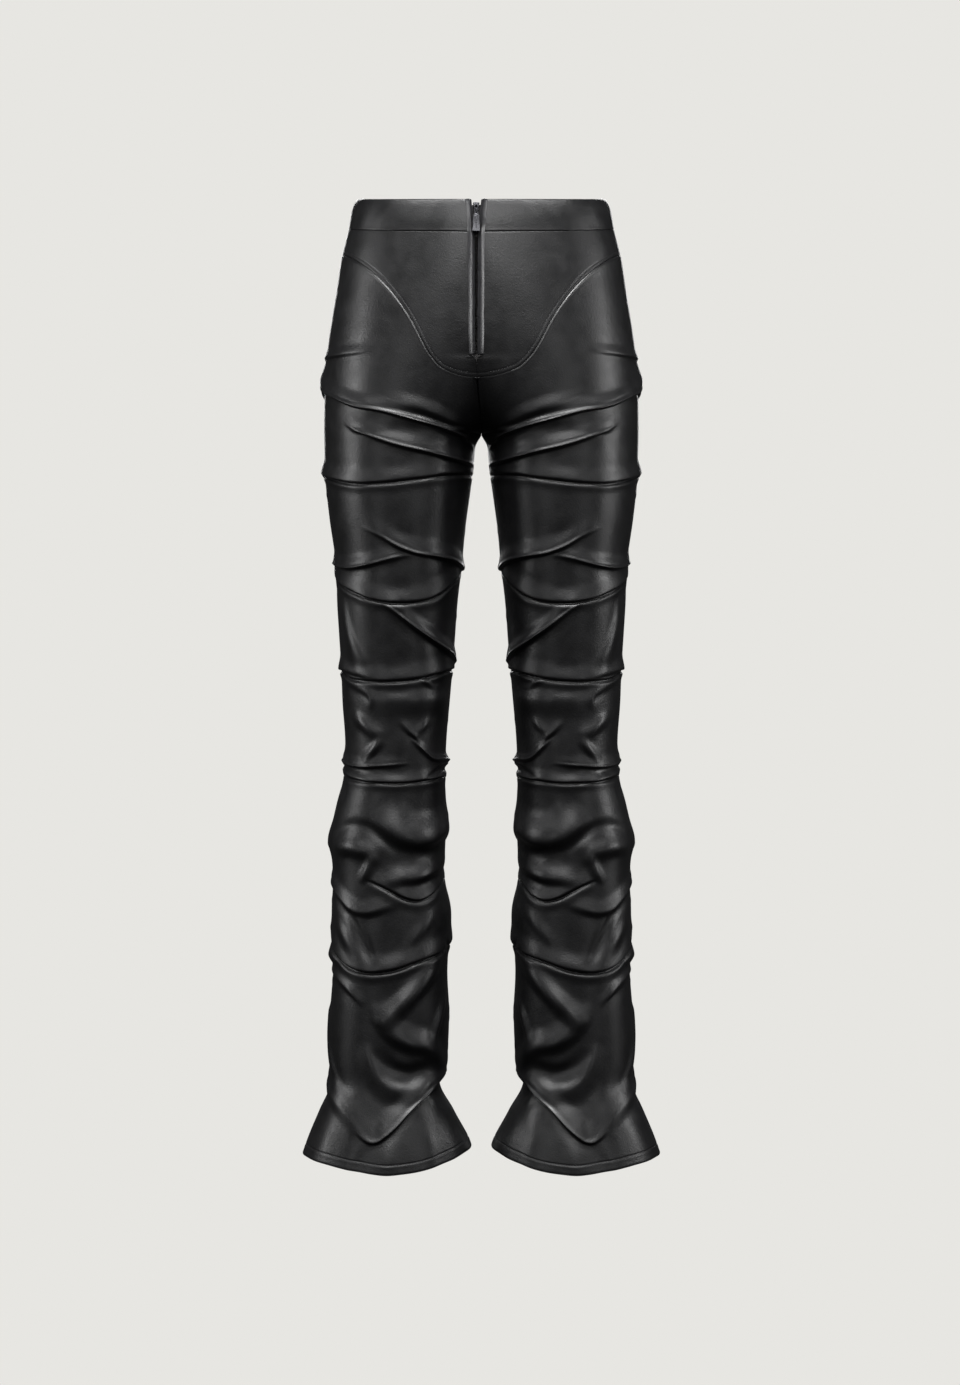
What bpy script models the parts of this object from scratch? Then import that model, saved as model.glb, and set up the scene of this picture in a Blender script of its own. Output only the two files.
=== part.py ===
"""Leather trousers with gathered, flared legs and an exposed front zip, standing filled out.

Every measure in the tables is in millimetres. A "drop" is a distance below the waist; "across" runs
from 0 at the side seam to 1 at the inner seam, or at the centre seam above the crotch.
"""

import math

import bmesh
import bpy
import numpy as np
from mathutils import Vector

MM = 0.001

# Driving sizes
CROTCH_DROP = 256.0
LEATHER = 1.4
HEM_TURN = 11.0
HEM_THICKNESS = 2.4
WAISTBAND_THICKNESS = 3.0
SEAM_GAP = 0.3
FLY_X = -5.5
FLY_OPENING = 11.0
FLY_END_DROP = 176.0
FLY_CLOSING = 4.0
PLACKET_WIDTH = 6.9
PLACKET_HEIGHT = 2.6
TAPE_WIDTH = 13.0
TAPE_THICKNESS = 1.0
TAPE_CLEARANCE = 0.75
CHAIN_WIDTH = 4.4
CHAIN_THICKNESS = 2.2
SLIDER_WIDTH = 7.0
SLIDER_LENGTH = 12.0
SLIDER_FRONT = 1.2
SLIDER_BACK = 3.0
SLIDER_TOP_DROP = 13.0
PULL_PIN_DROP = 16.0
PULL_PIN_OUT = 3.2
PULL_PIN_RADIUS = 0.75
PULL_LOOP_HALF_WIDTH = 2.3
PULL_SLOT_HALF_WIDTH = 1.0
PULL_LOOP_LENGTH = 12.0
PULL_LENGTH = 30.0
PULL_SHOULDER_HALF_WIDTH = 3.3
PULL_END_HALF_WIDTH = 4.4
PULL_TILT = math.radians(6)
BAIL_HALF_WIDTH = 0.7
BAIL_BAR = 1.1
FRONT_SLOPE = math.atan(5 / 34)

# The half garment's plain form under the folds. outer, inner and axis are distances from the
# centre plane, front and back are distances from the plane through the waist, and seam is how
# far behind that plane the side seam and the inseam run.
FORM_COLUMNS = ("drop", "outer", "inner", "axis", "front", "back", "seam")
FORM = (
    (-10, 135.0, 0.0, 2, 87, 91, 0),
    (0, 137.0, 0.0, 2, 88, 92, 0),
    (34, 144.0, 0.0, 3, 93, 100, 0),
    (62, 151.0, 0.0, 6, 96, 108, 1),
    (100, 157.0, 0.0, 16, 98, 117, 2),
    (131, 162.0, 0.0, 27, 98, 122, 3),
    (165, 167.0, 0.0, 40, 97, 124, 4),
    (192, 169.5, 0.0, 53, 95, 122, 5),
    (225, 170.5, 0.0, 70, 92, 117, 5),
    (256, 170.5, 0.0, 85, 89, 111, 5),
    (280, 170.0, 8.0, 88, 87, 106, 5),
    (305, 169.0, 11.0, 90, 85, 102, 5),
    (345, 165.0, 16.0, 90, 82, 96, 4),
    (394, 158.0, 21.0, 90, 77, 88, 3),
    (445, 156.0, 26.5, 91, 72, 80, 2),
    (500, 152.5, 30.5, 91, 66, 72, 1),
    (545, 150.5, 34.5, 92, 62, 67, 1),
    (597, 147.5, 38.5, 93, 60, 68, 2),
    (625, 149.0, 39.5, 94, 58, 72, 4),
    (656, 157.0, 38.5, 98, 57, 77, 6),
    (694, 164.0, 39.0, 101, 57, 80, 8),
    (725, 161.5, 42.0, 102, 57, 79, 8),
    (771, 162.5, 33.0, 98, 58, 76, 7),
    (835, 161.0, 37.0, 99, 59, 70, 5),
    (890, 164.5, 35.0, 99, 60, 66, 3),
    (937, 164.5, 39.5, 102, 60, 63, 2),
    (955, 163.0, 45.5, 104, 60, 62, 2),
    (988, 176.0, 30.0, 103, 66, 67, 1),
    (1021, 189.3, 12.5, 101, 73, 75, 1),
    (1040, 196.0, 7.0, 101, 77, 79, 1),
    (1070, 206.0, 0.5, 102, 82, 85, 1),
)

# The crotch curve leaves the front and back of the form at these drops and closes at the crotch.
FRONT_CURVE_TOP = 140.0
BACK_CURVE_TOP = 110.0
CURVE_FULLNESS = 2.3

# A row for each fold: the drop of its crest and how far it stands out, at five places across the
# front and at the middle of the back, then how far it fades upwards and downwards.
FOLD_PLACES = (0.0, 0.25, 0.5, 0.75, 1.0)
FOLD_COLUMNS = ("name", "crest", "out", "back_crest", "back_out", "above", "below", "tuck")
FOLDS = (
    ("hip_crease", (172, 172, 171, 177, 186), (3, 3, 1, 0, 0), 178, 2, 16, 9, 0.2),
    ("hip_swell", (178, 196, 215, 238, 250), (0, 3, 7, 7, 0), 196, 3, 24, 12, 0.2),
    ("hip_fold", (192, 219, 233, 262, 268), (6, 9, 9, 6, 1), 212, 7, 22, 9, 0.25),
    ("crotch_drag", (238, 248, 269, 283, 286), (0, 3, 5, 5, 1), 262, 3, 16, 9, 0.2),
    ("thigh_crease", (291, 308, 311, 302, 298), (5, 5, 5, 4, 1), 318, 5, 16, 8, 0.25),
    ("thigh_drag", (350, 364, 380, 390, 396), (0, 2, 5, 7, 2), 384, 4, 20, 9, 0.2),
    ("thigh_pocket", (393, 400, 391, 384, 380), (3, 5, 3, 0, 0), 402, 2, 14, 9, 0.2),
    ("thigh_hammock", (407, 429, 440, 432, 401), (4, 8, 9, 8, 2), 426, 7, 24, 10, 0.3),
    ("inner_drag", (436, 440, 449, 483, 497), (0, 0, 4, 5, 2), 478, 3, 18, 10, 0.2),
    ("knee_top", (508, 521, 524, 516, 511), (3, 7, 8, 7, 3), 528, 6, 26, 9, 0.3),
    ("knee", (544, 543, 541, 541, 541), (2, 3, 3, 3, 2), 556, 3, 13, 9, 0.2),
    ("knee_cross", (560, 568, 584, 600, 600), (1, 3, 3, 3, 1), 580, 3, 14, 12, 0.1),
    ("knee_band", (610, 614, 612, 613, 614), (4, 5, 5, 5, 4), 602, 5, 18, 8, 0.3),
    ("calf_ledge", (636, 637, 637, 634, 631), (2, 5, 6, 5, 3), 632, 5, 9, 22, 0.1),
    ("calf_knob", (668, 672, 680, 691, 684), (0, 2, 6, 9, 4), 688, 6, 26, 10, 0.25),
    ("calf_swell", (700, 698, 698, 704, 712), (4, 8, 5, 0, 0), 706, 3, 20, 20, 0.1),
    ("calf_inner", (716, 718, 717, 708, 706), (0, 0, 3, 6, 2), 722, 3, 14, 14, 0.2),
    ("calf_drag", (742, 744, 750, 753, 741), (0, 1, 7, 7, 2), 748, 5, 22, 9, 0.2),
    ("shin_drape", (742, 765, 766, 766, 760), (3, 8, 6, 0, 0), 764, 4, 24, 10, 0.2),
    ("shin_hammock", (816, 834, 835, 820, 804), (5, 9, 9, 7, 3), 826, 8, 34, 11, 0.3),
    ("shin_hook", (866, 874, 889, 917, 925), (3, 4, 6, 4, 1), 884, 4, 30, 16, 0.1),
    ("ankle_pocket", (920, 930, 946, 951, 940), (2, 3, 6, 7, 3), 936, 5, 22, 12, 0.3),
    ("ankle_lobe", (955, 977, 1017, 967, 947), (5, 9, 9, 9, 4), 984, 7, 44, 10, 0.3),
)
SAG = 0.25

# The lines where the panels are cut, by their drop at the fold places across the front and back.
WAIST_FRONT = (1.2, 4.6, 7.3, 8.8, 9.4)
WAIST_BACK = (1.2, 0.3, -0.8, -2.2, -3.0)
BAND_SEAM_FRONT = (33.6, 38.0, 42.0, 44.0, 45.0)
BAND_SEAM_BACK = (33.6, 34.0, 33.5, 32.0, 31.0)
HEM_FRONT = (1035, 1043, 1052, 1042, 1027)
HEM_BACK = (1035, 1043, 1048, 1040, 1027)
CROTCH_LINE_FRONT = (180, 196, 217, 245, 256)
CROTCH_LINE_BACK = (180, 194, 214, 242, 256)

# The curved seam of the front yoke: its drop at each distance from the centre plane.
YOKE_X = (0, 15, 30, 45, 60, 75, 90, 105, 121, 136, 151)
YOKE_DROP = (199, 198, 194, 186, 166, 138, 115, 97, 82, 71, 62)

FRONT_COLUMNS = 14
FRONT_ROWS = (12, 56)
BACK_COLUMNS = 12
BACK_ROWS = (12, 36)
YOKE_ROW_FRACTIONS = (0.0, 0.14, 0.28, 0.42, 0.56, 0.70, 0.85, 0.877, 1.0)


def smooth(xs, ys, x):
    """A cubic curve through the points (xs, ys), read at x."""
    xs, ys, x = (np.asarray(values, float) for values in (xs, ys, x))
    steps = np.diff(xs)
    slopes = np.diff(ys) / steps
    tangents = np.empty_like(ys)
    tangents[0], tangents[-1] = slopes[0], slopes[-1]
    tangents[1:-1] = (slopes[:-1] * steps[1:] + slopes[1:] * steps[:-1]) / (steps[:-1] + steps[1:])
    i = np.clip(np.searchsorted(xs, x) - 1, 0, len(steps) - 1)
    t = np.clip((x - xs[i]) / steps[i], 0, 1)
    rise = (3 - 2 * t) * t * t
    return (
        ys[i]
        + (ys[i + 1] - ys[i]) * rise
        + steps[i] * (tangents[i] * t * (1 - t) ** 2 - tangents[i + 1] * t * t * (1 - t))
    )


def form_at(drop):
    """The plain form's sizes at a drop."""
    drops = [row[0] for row in FORM]
    return {
        name: float(smooth(drops, [row[i] for row in FORM], drop))
        for i, name in enumerate(FORM_COLUMNS)
    }


def centre_depth(drop, face):
    """How far the centre seam lies in front of, or behind, the side seam."""
    top = FRONT_CURVE_TOP if face == "front" else BACK_CURVE_TOP
    start = form_at(min(drop, top))
    seam = start["seam"] if face == "front" else -start["seam"]
    fallen = min(max((drop - top) / (CROTCH_DROP - top), 0), 1)
    return (start[face] - 1 + seam) * (1 - fallen**CURVE_FULLNESS) ** (1 / CURVE_FULLNESS)


def half_ring(drop, face, count=129):
    """Evenly spaced points round one quarter of the garment, from the side seam to the inner one."""
    form = form_at(drop)
    side = -1 if face == "front" else 1
    depth = form[face] - side * form["seam"]
    closed = drop >= CROTCH_DROP
    inner = form["inner"] if closed else 0.0
    turn = math.pi / 2 if closed else math.acos(min(centre_depth(drop, face) / depth, 0.9995))
    outwards = np.linspace(0, math.pi / 2, count // 2)
    inwards = np.linspace(0, turn, count // 2)[1:]
    x = np.concatenate([
        -form["axis"] - (form["outer"] - form["axis"]) * np.cos(outwards),
        -form["axis"] + (form["axis"] - inner) * np.sin(inwards) / math.sin(turn),
    ])
    y = form["seam"] + side * depth * np.concatenate([np.sin(outwards), np.cos(inwards)])
    length = np.concatenate([[0], np.cumsum(np.hypot(np.diff(x), np.diff(y)))])
    across = np.linspace(0, 1, count)
    return np.interp(across, length / length[-1], x), np.interp(across, length / length[-1], y)


RING_STEP = 2.0
RING_DROPS = np.arange(-10, 1070.1, RING_STEP)
RINGS = {
    face: np.array([half_ring(drop, face) for drop in RING_DROPS]) for face in ("front", "back")
}


def form_point(face, across, drop):
    """(x, y) on the plain form, for arrays of places."""
    rings = RINGS[face]
    row = np.clip((drop - RING_DROPS[0]) / RING_STEP, 0, len(RING_DROPS) - 1.001)
    column = np.clip(across, 0, 1) * (rings.shape[2] - 1)
    column = np.minimum(column, rings.shape[2] - 1.001)
    i, j = row.astype(int), column.astype(int)
    s, t = row - i, column - j
    return [
        (rings[i, k, j] * (1 - t) + rings[i, k, j + 1] * t) * (1 - s)
        + (rings[i + 1, k, j] * (1 - t) + rings[i + 1, k, j + 1] * t) * s
        for k in (0, 1)
    ]


def fold_line(fold, face, values, back_value, across):
    """A fold's crest or stand-out across the front or the back, joined at both seams."""
    if face == "front":
        return smooth(FOLD_PLACES, values, across)
    return smooth((0, 0.5, 1), (values[0], back_value, values[-1]), across)


def fold_height(face, across, drop):
    """How far all the folds lift the leather off the plain form."""
    height = np.zeros(np.shape(drop))
    for fold in (dict(zip(FOLD_COLUMNS, row)) for row in FOLDS):
        crest = fold_line(fold, face, fold["crest"], fold["back_crest"], across)
        out = np.maximum(fold_line(fold, face, fold["out"], fold["back_out"], across), 0)
        below = (drop - crest) / fold["below"]
        above = (crest - drop) / fold["above"]
        rise = np.where(above > 0, 0.5 + 0.5 * np.cos(math.pi * np.clip(above, 0, 1)), 0)
        fall = 0.5 + 0.5 * np.cos(math.pi * np.clip(below, 0, 1))
        tuck = -fold["tuck"] * np.sin(math.pi * np.clip((below - 0.4) / 1.6, 0, 1)) ** 2
        height = height + out * np.where(drop < crest, rise, fall + tuck)
    held = np.clip((across - 0.84) / 0.16, 0, 1) * np.clip((CROTCH_DROP + 24 - drop) / 24, 0, 1)
    return height * (1 - held)


def surface(face, across, drop):
    """Points on the outside of the leather, as arrays of x, y and z in millimetres."""
    near = 0.004
    x0, y0 = form_point(face, across - near, drop)
    x1, y1 = form_point(face, across + near, drop)
    x, y = form_point(face, across, drop)
    length = np.maximum(np.hypot(x1 - x0, y1 - y0), 1e-9)
    side = 1 if face == "front" else -1
    height = fold_height(face, across, drop)
    normal_x, normal_y = side * (y1 - y0) / length, -side * (x1 - x0) / length
    return np.stack([x + normal_x * height, y + normal_y * height, -drop - SAG * height], axis=-1)


def leather_point(face, across, drop, depth):
    """Points at a depth inside the leather's outer surface."""
    near_across, near_drop = 0.004, 0.8
    point = surface(face, across, drop)
    along = surface(face, np.minimum(across + near_across, 1), drop)
    along = along - surface(face, np.maximum(across - near_across, 0), drop)
    down = surface(face, across, drop + near_drop) - surface(face, across, drop - near_drop)
    normal = np.cross(down, along) if face == "front" else np.cross(along, down)
    normal /= np.maximum(np.linalg.norm(normal, axis=-1, keepdims=True), 1e-9)
    point = point - normal * np.asarray(depth)[..., None]
    point[..., 0] = np.minimum(point[..., 0], -SEAM_GAP / 2)
    return point


def yoke_drop(across):
    """The drop of the yoke's curved seam at each place across the front."""
    drop = np.full(np.shape(across), 120.0)
    for _ in range(40):
        x, _ = form_point("front", across, drop)
        drop = 0.5 * drop + 0.5 * smooth(YOKE_X, YOKE_DROP, -x)
    return drop


def columns_across(count):
    """Columns from the side seam to the inner one, a little closer together towards the inner one."""
    even = np.linspace(0, 1, count + 1)
    return even + 0.028 * np.sin(math.pi * even) * (1 + even)


def crowded_rows(face, across, top, bottom, count):
    """Row drops down each column, closer together near the fold crests and at the crotch."""
    drops = np.linspace(0, 1, 400)[:, None]
    drops = top + (bottom - top) * drops
    density = np.ones(drops.shape)
    for fold in (dict(zip(FOLD_COLUMNS, row)) for row in FOLDS):
        crest = fold_line(fold, face, fold["crest"], fold["back_crest"], across)
        out = np.maximum(fold_line(fold, face, fold["out"], fold["back_out"], across), 0)
        spread = (drops - crest - 2) / 11
        density += 0.32 * out * np.exp(-spread * spread)
    from_crotch = (drops - CROTCH_DROP) / np.where(drops < CROTCH_DROP, 9, 7)
    density += 6 * across**6 * np.exp(-from_crotch * from_crotch)
    total = np.cumsum(density, axis=0)
    total = (total - total[0]) / (total[-1] - total[0])
    wanted = np.linspace(0, 1, count + 1)
    columns = [np.interp(wanted, total[:, j], drops[:, j]) for j in range(drops.shape[1])]
    return np.array(columns).T


def centre_line(drop):
    """Where the centre front seam runs: under the fly at the top, on the centre plane at the crotch."""
    return smooth((FLY_END_DROP, 200, 225, 246), (FLY_X, -4.5, -2.4, 0), drop)


def lean(points, edge_shift):
    """Slides the middle of the front sideways by edge_shift at the centre seam, fading out by the hips."""
    nearness = np.clip(1 + points[..., 0] / 70, 0, 1)
    points[..., 0] += edge_shift * nearness * nearness * (3 - 2 * nearness)
    return points


def wall(name, outside, inside, material, mirrored):
    """A closed piece of leather from a grid of outer points and the inner points behind them."""
    rows, columns = outside.shape[:2]
    bm = bmesh.new()
    bmesh.ops.create_grid(bm, x_segments=columns - 1, y_segments=rows - 1, size=1)
    grown = bmesh.ops.extrude_face_region(bm, geom=bm.faces[:], use_keep_orig=True)
    behind = {item for item in grown["geom"] if isinstance(item, bmesh.types.BMVert)}
    for vert in bm.verts:
        i = round((vert.co.y + 1) / 2 * (rows - 1))
        j = round((vert.co.x + 1) / 2 * (columns - 1))
        x, y, z = (inside if vert in behind else outside)[i, j]
        vert.co = (-x * MM if mirrored else x * MM, y * MM, z * MM)
    return finish(name, bm, material)


def finish(name, bm, material):
    """Turns the faces of a closed shape outwards and makes it an object."""
    bmesh.ops.recalc_face_normals(bm, faces=bm.faces)
    if bm.calc_volume(signed=True) < 0:
        bmesh.ops.reverse_faces(bm, faces=bm.faces)
    mesh = bpy.data.meshes.new(name)
    bm.to_mesh(mesh)
    bm.free()
    mesh.shade_smooth()
    mesh.set_sharp_from_angle(angle=math.radians(50))
    mesh.materials.append(material)
    obj = bpy.data.objects.new(name, mesh)
    bpy.context.scene.collection.objects.link(obj)
    return obj


def seam_inset(face, across, drop):
    """Moves the edge columns off the seams by half the gap."""
    x, y = form_point(face, across, drop)
    inset = np.zeros(np.shape(drop))
    for edge, toward in ((0, 1), (-1, -2)):
        run = np.hypot(x[:, toward] - x[:, edge], y[:, toward] - y[:, edge])
        share = SEAM_GAP / 2 / np.maximum(run, 1)
        inset[:, edge] = share * (across[:, toward] - across[:, edge])
    return across + inset


def panel(name, face, across, drops, thickness, material, mirrored, edge_shift=None):
    """Cuts a panel whose rows lie at these drops, with a thickness for each point."""
    across = seam_inset(face, np.broadcast_to(across, drops.shape), drops)
    outside = leather_point(face, across, drops, np.zeros(drops.shape))
    inside = leather_point(face, across, drops, thickness)
    if edge_shift is not None:
        outside, inside = lean(outside, edge_shift), lean(inside, edge_shift)
    return wall(name, outside, inside, material, mirrored)


def side_name(mirrored):
    return "left" if mirrored else "right"


def centre_shift(drops, mirrored):
    """The sideways move of the centre edge, in the half's own coordinates, round the open fly."""
    opened = np.clip((FLY_END_DROP + FLY_CLOSING - drops) / FLY_CLOSING, 0, 1)
    shift = np.where(drops < CROTCH_DROP, centre_line(drops), 0)
    return (-shift if mirrored else shift) - opened * FLY_OPENING / 2


def front_leg(material, mirrored):
    across = columns_across(FRONT_COLUMNS)
    seam = yoke_drop(across) + SEAM_GAP
    crotch = smooth(FOLD_PLACES, CROTCH_LINE_FRONT, across)
    hem = smooth(FOLD_PLACES, HEM_FRONT, across)
    drops = np.vstack([
        crowded_rows("front", across, seam, crotch, FRONT_ROWS[0]),
        crowded_rows("front", across, crotch, hem - HEM_TURN - 2, FRONT_ROWS[1])[1:],
        hem - HEM_TURN,
        hem,
    ])
    thickness = np.full(drops.shape, LEATHER)
    thickness[-2:] = HEM_THICKNESS
    name = f"front_leg_{side_name(mirrored)}"
    shift = centre_shift(drops, mirrored)
    return panel(name, "front", across, drops, thickness, material, mirrored, shift)


def back_leg(material, mirrored):
    across = columns_across(BACK_COLUMNS)
    seam = smooth(FOLD_PLACES, BAND_SEAM_BACK, across) + SEAM_GAP
    crotch = smooth(FOLD_PLACES, CROTCH_LINE_BACK, across)
    hem = smooth(FOLD_PLACES, HEM_BACK, across)
    drops = np.vstack([
        crowded_rows("back", across, seam, crotch, BACK_ROWS[0]),
        crowded_rows("back", across, crotch, hem - HEM_TURN - 2, BACK_ROWS[1])[1:],
        hem - HEM_TURN,
        hem,
    ])
    thickness = np.full(drops.shape, LEATHER)
    thickness[-2:] = HEM_THICKNESS
    name = f"back_leg_{side_name(mirrored)}"
    return panel(name, "back", across, drops, thickness, material, mirrored)


def yoke(material, mirrored):
    across = columns_across(FRONT_COLUMNS)
    top = smooth(FOLD_PLACES, BAND_SEAM_FRONT, across) + SEAM_GAP
    bottom = yoke_drop(across)
    drops = top + (bottom - top) * np.array(YOKE_ROW_FRACTIONS)[:, None]
    shift = centre_shift(drops, mirrored)
    thickness = np.full(drops.shape, LEATHER)
    name = f"front_yoke_{side_name(mirrored)}"
    return panel(name, "front", across, drops, thickness, material, mirrored, shift)


# The waistband's rows from its rounded top edge to its seam: how far down each lies, as a share of
# the band's height plus some millimetres, and the depths of its outer and inner face there.
BAND_COLUMNS = ("share", "plus", "outer", "inner")
BAND_ROWS = (
    (0.0, 0.0, 1.0, 2.0),
    (0.0, 0.4, 0.35, 2.65),
    (0.0, 1.5, 0.0, 3.0),
    (0.5, 0.0, -0.4, 2.6),
    (1.0, 0.0, 0.0, 3.0),
)


def waistband(material, mirrored):
    """One half of the band, from the fly round the side to the centre back, as one strip."""
    across = np.linspace(0, 1, 12)
    outside, inside = [], []
    for face, waist, seam in (
        ("front", WAIST_FRONT, BAND_SEAM_FRONT),
        ("back", WAIST_BACK, BAND_SEAM_BACK),
    ):
        top, bottom = smooth(FOLD_PLACES, waist, across), smooth(FOLD_PLACES, seam, across)
        rows = [dict(zip(BAND_COLUMNS, row)) for row in BAND_ROWS]
        drops = np.array([top + (bottom - top) * row["share"] + row["plus"] for row in rows])
        places = np.broadcast_to(across, drops.shape).copy()
        places[:, -1] = seam_inset(face, places, drops)[:, -1]
        shift = centre_shift(drops, mirrored) if face == "front" else 0 * drops
        for walls, side in ((outside, "outer"), (inside, "inner")):
            depth = np.array([row[side] for row in rows])[:, None] + 0 * drops
            points = lean(leather_point(face, places, drops, depth), shift)
            walls.append(points if face == "back" else points[:, :0:-1])
    name = f"waistband_{side_name(mirrored)}"
    outer, inner = (np.concatenate(walls, axis=1) for walls in (outside, inside))
    return wall(name, outer, inner, material, mirrored)


def front_point(x, drop, out):
    """A point in front of the fly, this far out from the leather beside its opening."""
    across = np.linspace(0.5, 1, 200)
    ring_x, ring_y = form_point("front", across, np.full(across.shape, float(drop)))
    from_opening = max(0.0, abs(x - FLY_X) - FLY_OPENING / 2)
    return Vector((x, np.interp(-from_opening, ring_x, ring_y) - out, -drop)) * MM


def bar(name, sections, material):
    """A closed bar bridged through rings of points."""
    bm = bmesh.new()
    rings = []
    for points in sections:
        verts = [bm.verts.new(point) for point in points]
        rings.append([bm.edges.new((verts[i - 1], verts[i])) for i in range(len(verts))])
    for upper, lower in zip(rings, rings[1:]):
        bmesh.ops.bridge_loops(bm, edges=upper + lower)
    bmesh.ops.holes_fill(bm, edges=rings[0] + rings[-1], sides=0)
    return finish(name, bm, material)


# A placket strip's cross-section: a flat back and a round front, as shares of its width and height.
PLACKET_SECTION = (
    (-0.5, 0.0), (0.5, 0.0), (0.5, 0.45), (0.34, 0.85), (0.0, 1.0), (-0.34, 0.85), (-0.5, 0.45),
)


def placket(material, side):
    """The rounded strip beside the zip: it spreads from the zip at the waist, where the slider sits."""
    sections = []
    for drop in (10.5, 14, 18, 23, 29, 36, 43.5, 46.5, 60, 85, 110, 135, 160, FLY_END_DROP):
        spread = float(smooth((10, 25, 36, 48), (2.8, 1.6, 0.8, 0), min(drop, 48)))
        centre = FLY_X + side * (2.4 + PLACKET_WIDTH / 2 + spread)
        sections.append([
            front_point(centre + PLACKET_WIDTH * u, drop, 0.45 + PLACKET_HEIGHT * v)
            for u, v in PLACKET_SECTION
        ])
    return bar(f"placket_{'right' if side < 0 else 'left'}", sections, material)


def zip_tape(material, side):
    """Half the closed zip: a flat tape behind the panel's edge and its half of the raised chain."""
    near, far, chain = SEAM_GAP / 2, TAPE_WIDTH, CHAIN_WIDTH / 2
    top = SLIDER_TOP_DROP + SLIDER_LENGTH + 0.4
    sections = []
    for drop in (top, 36, 46, 50, 60, 80, 100, 120, 140, 158, FLY_END_DROP - 1):
        wall_behind = WAISTBAND_THICKNESS if drop < 48 else LEATHER
        back = wall_behind + TAPE_CLEARANCE
        front = back - CHAIN_THICKNESS
        shape = ((near, back + TAPE_THICKNESS), (near, front), (chain, front))
        shape += ((chain, back), (far, back), (far, back + TAPE_THICKNESS))
        sections.append([front_point(FLY_X + side * u, drop, -v) for u, v in shape])
    return bar(f"zip_tape_{'right' if side < 0 else 'left'}", sections, material)


def on_the_slope(obj, drop, out, tilt):
    """Hangs a piece of the zip in front of the fly, leaning out with it and by its own tilt."""
    obj.location = front_point(FLY_X, drop, out)
    obj.rotation_euler.x = -(FRONT_SLOPE + tilt)
    return obj


def slider(material):
    """The slider's body, narrower at its foot, with the low bail that the pull hangs on."""
    bm = bmesh.new()
    thickness = SLIDER_FRONT + SLIDER_BACK
    bmesh.ops.create_cube(bm, size=1)
    bmesh.ops.scale(bm, verts=bm.verts, vec=(SLIDER_WIDTH * MM, thickness * MM, SLIDER_LENGTH * MM))
    foot = [vert for vert in bm.verts if vert.co.z < 0]
    bmesh.ops.scale(bm, verts=foot, vec=(0.8, 0.85, 1))
    bmesh.ops.bevel(bm, geom=bm.edges[:], offset=0.8 * MM, segments=2, profile=0.5, affect="EDGES")
    centre_out = SLIDER_FRONT - thickness / 2
    middle = SLIDER_TOP_DROP + SLIDER_LENGTH / 2
    body = on_the_slope(finish("slider", bm, material), middle, centre_out, 0)

    radius = BAIL_BAR + BAIL_BAR / 2
    path = [(-radius, SLIDER_FRONT - 0.9 - PULL_PIN_OUT, 180)]
    path += [(-radius * math.cos(math.radians(a)), radius * math.sin(math.radians(a)), 180 - a)
             for a in range(0, 181, 30)]
    path += [(radius, SLIDER_FRONT - 0.9 - PULL_PIN_OUT, 0)]
    sections = []
    for along, out, angle in path:
        away = Vector((0, -math.sin(math.radians(angle)), -math.cos(math.radians(angle))))
        centre = Vector((0, -out, -along))
        sections.append([
            (centre + away * r + Vector((x, 0, 0))) * MM
            for x, r in (
                (-BAIL_HALF_WIDTH, -BAIL_BAR / 2),
                (BAIL_HALF_WIDTH, -BAIL_BAR / 2),
                (BAIL_HALF_WIDTH, BAIL_BAR / 2),
                (-BAIL_HALF_WIDTH, BAIL_BAR / 2),
            )
        ])
    bail = on_the_slope(bar("bail_arch", sections, material), PULL_PIN_DROP, PULL_PIN_OUT, 0)
    hide(bail)
    join = body.modifiers.new("bail", "BOOLEAN")
    join.operation = "UNION"
    join.solver = "EXACT"
    join.object = bail
    return body


def hide(obj):
    obj.hide_render = True
    obj.display_type = "WIRE"


def plate(name, outline, thickness, material, bevel):
    """A flat plate in the plane of x and z, centred on y = 0, from an outline of (x, z) points."""
    bm = bmesh.new()
    face = bm.faces.new([bm.verts.new((x * MM, -thickness / 2 * MM, z * MM)) for x, z in outline])
    grown = bmesh.ops.extrude_face_region(bm, geom=[face], use_keep_orig=True)
    moved = [item for item in grown["geom"] if isinstance(item, bmesh.types.BMVert)]
    bmesh.ops.translate(bm, verts=moved, vec=(0, thickness * MM, 0))
    if bevel:
        rims = [edge for edge in bm.edges if abs(edge.verts[0].co.y - edge.verts[1].co.y) < 1e-7]
        bmesh.ops.bevel(bm, geom=rims, offset=bevel * MM, segments=2, profile=0.5, affect="EDGES")
    return finish(name, bm, material)


def arc(x, z, radius, start, end, steps):
    """Points on an arc in the plane of x and z, its angles in degrees from +x towards +z."""
    angles = np.radians(np.linspace(start, end, steps))
    return [(x + radius * math.cos(a), z + radius * math.sin(a)) for a in angles]


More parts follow.
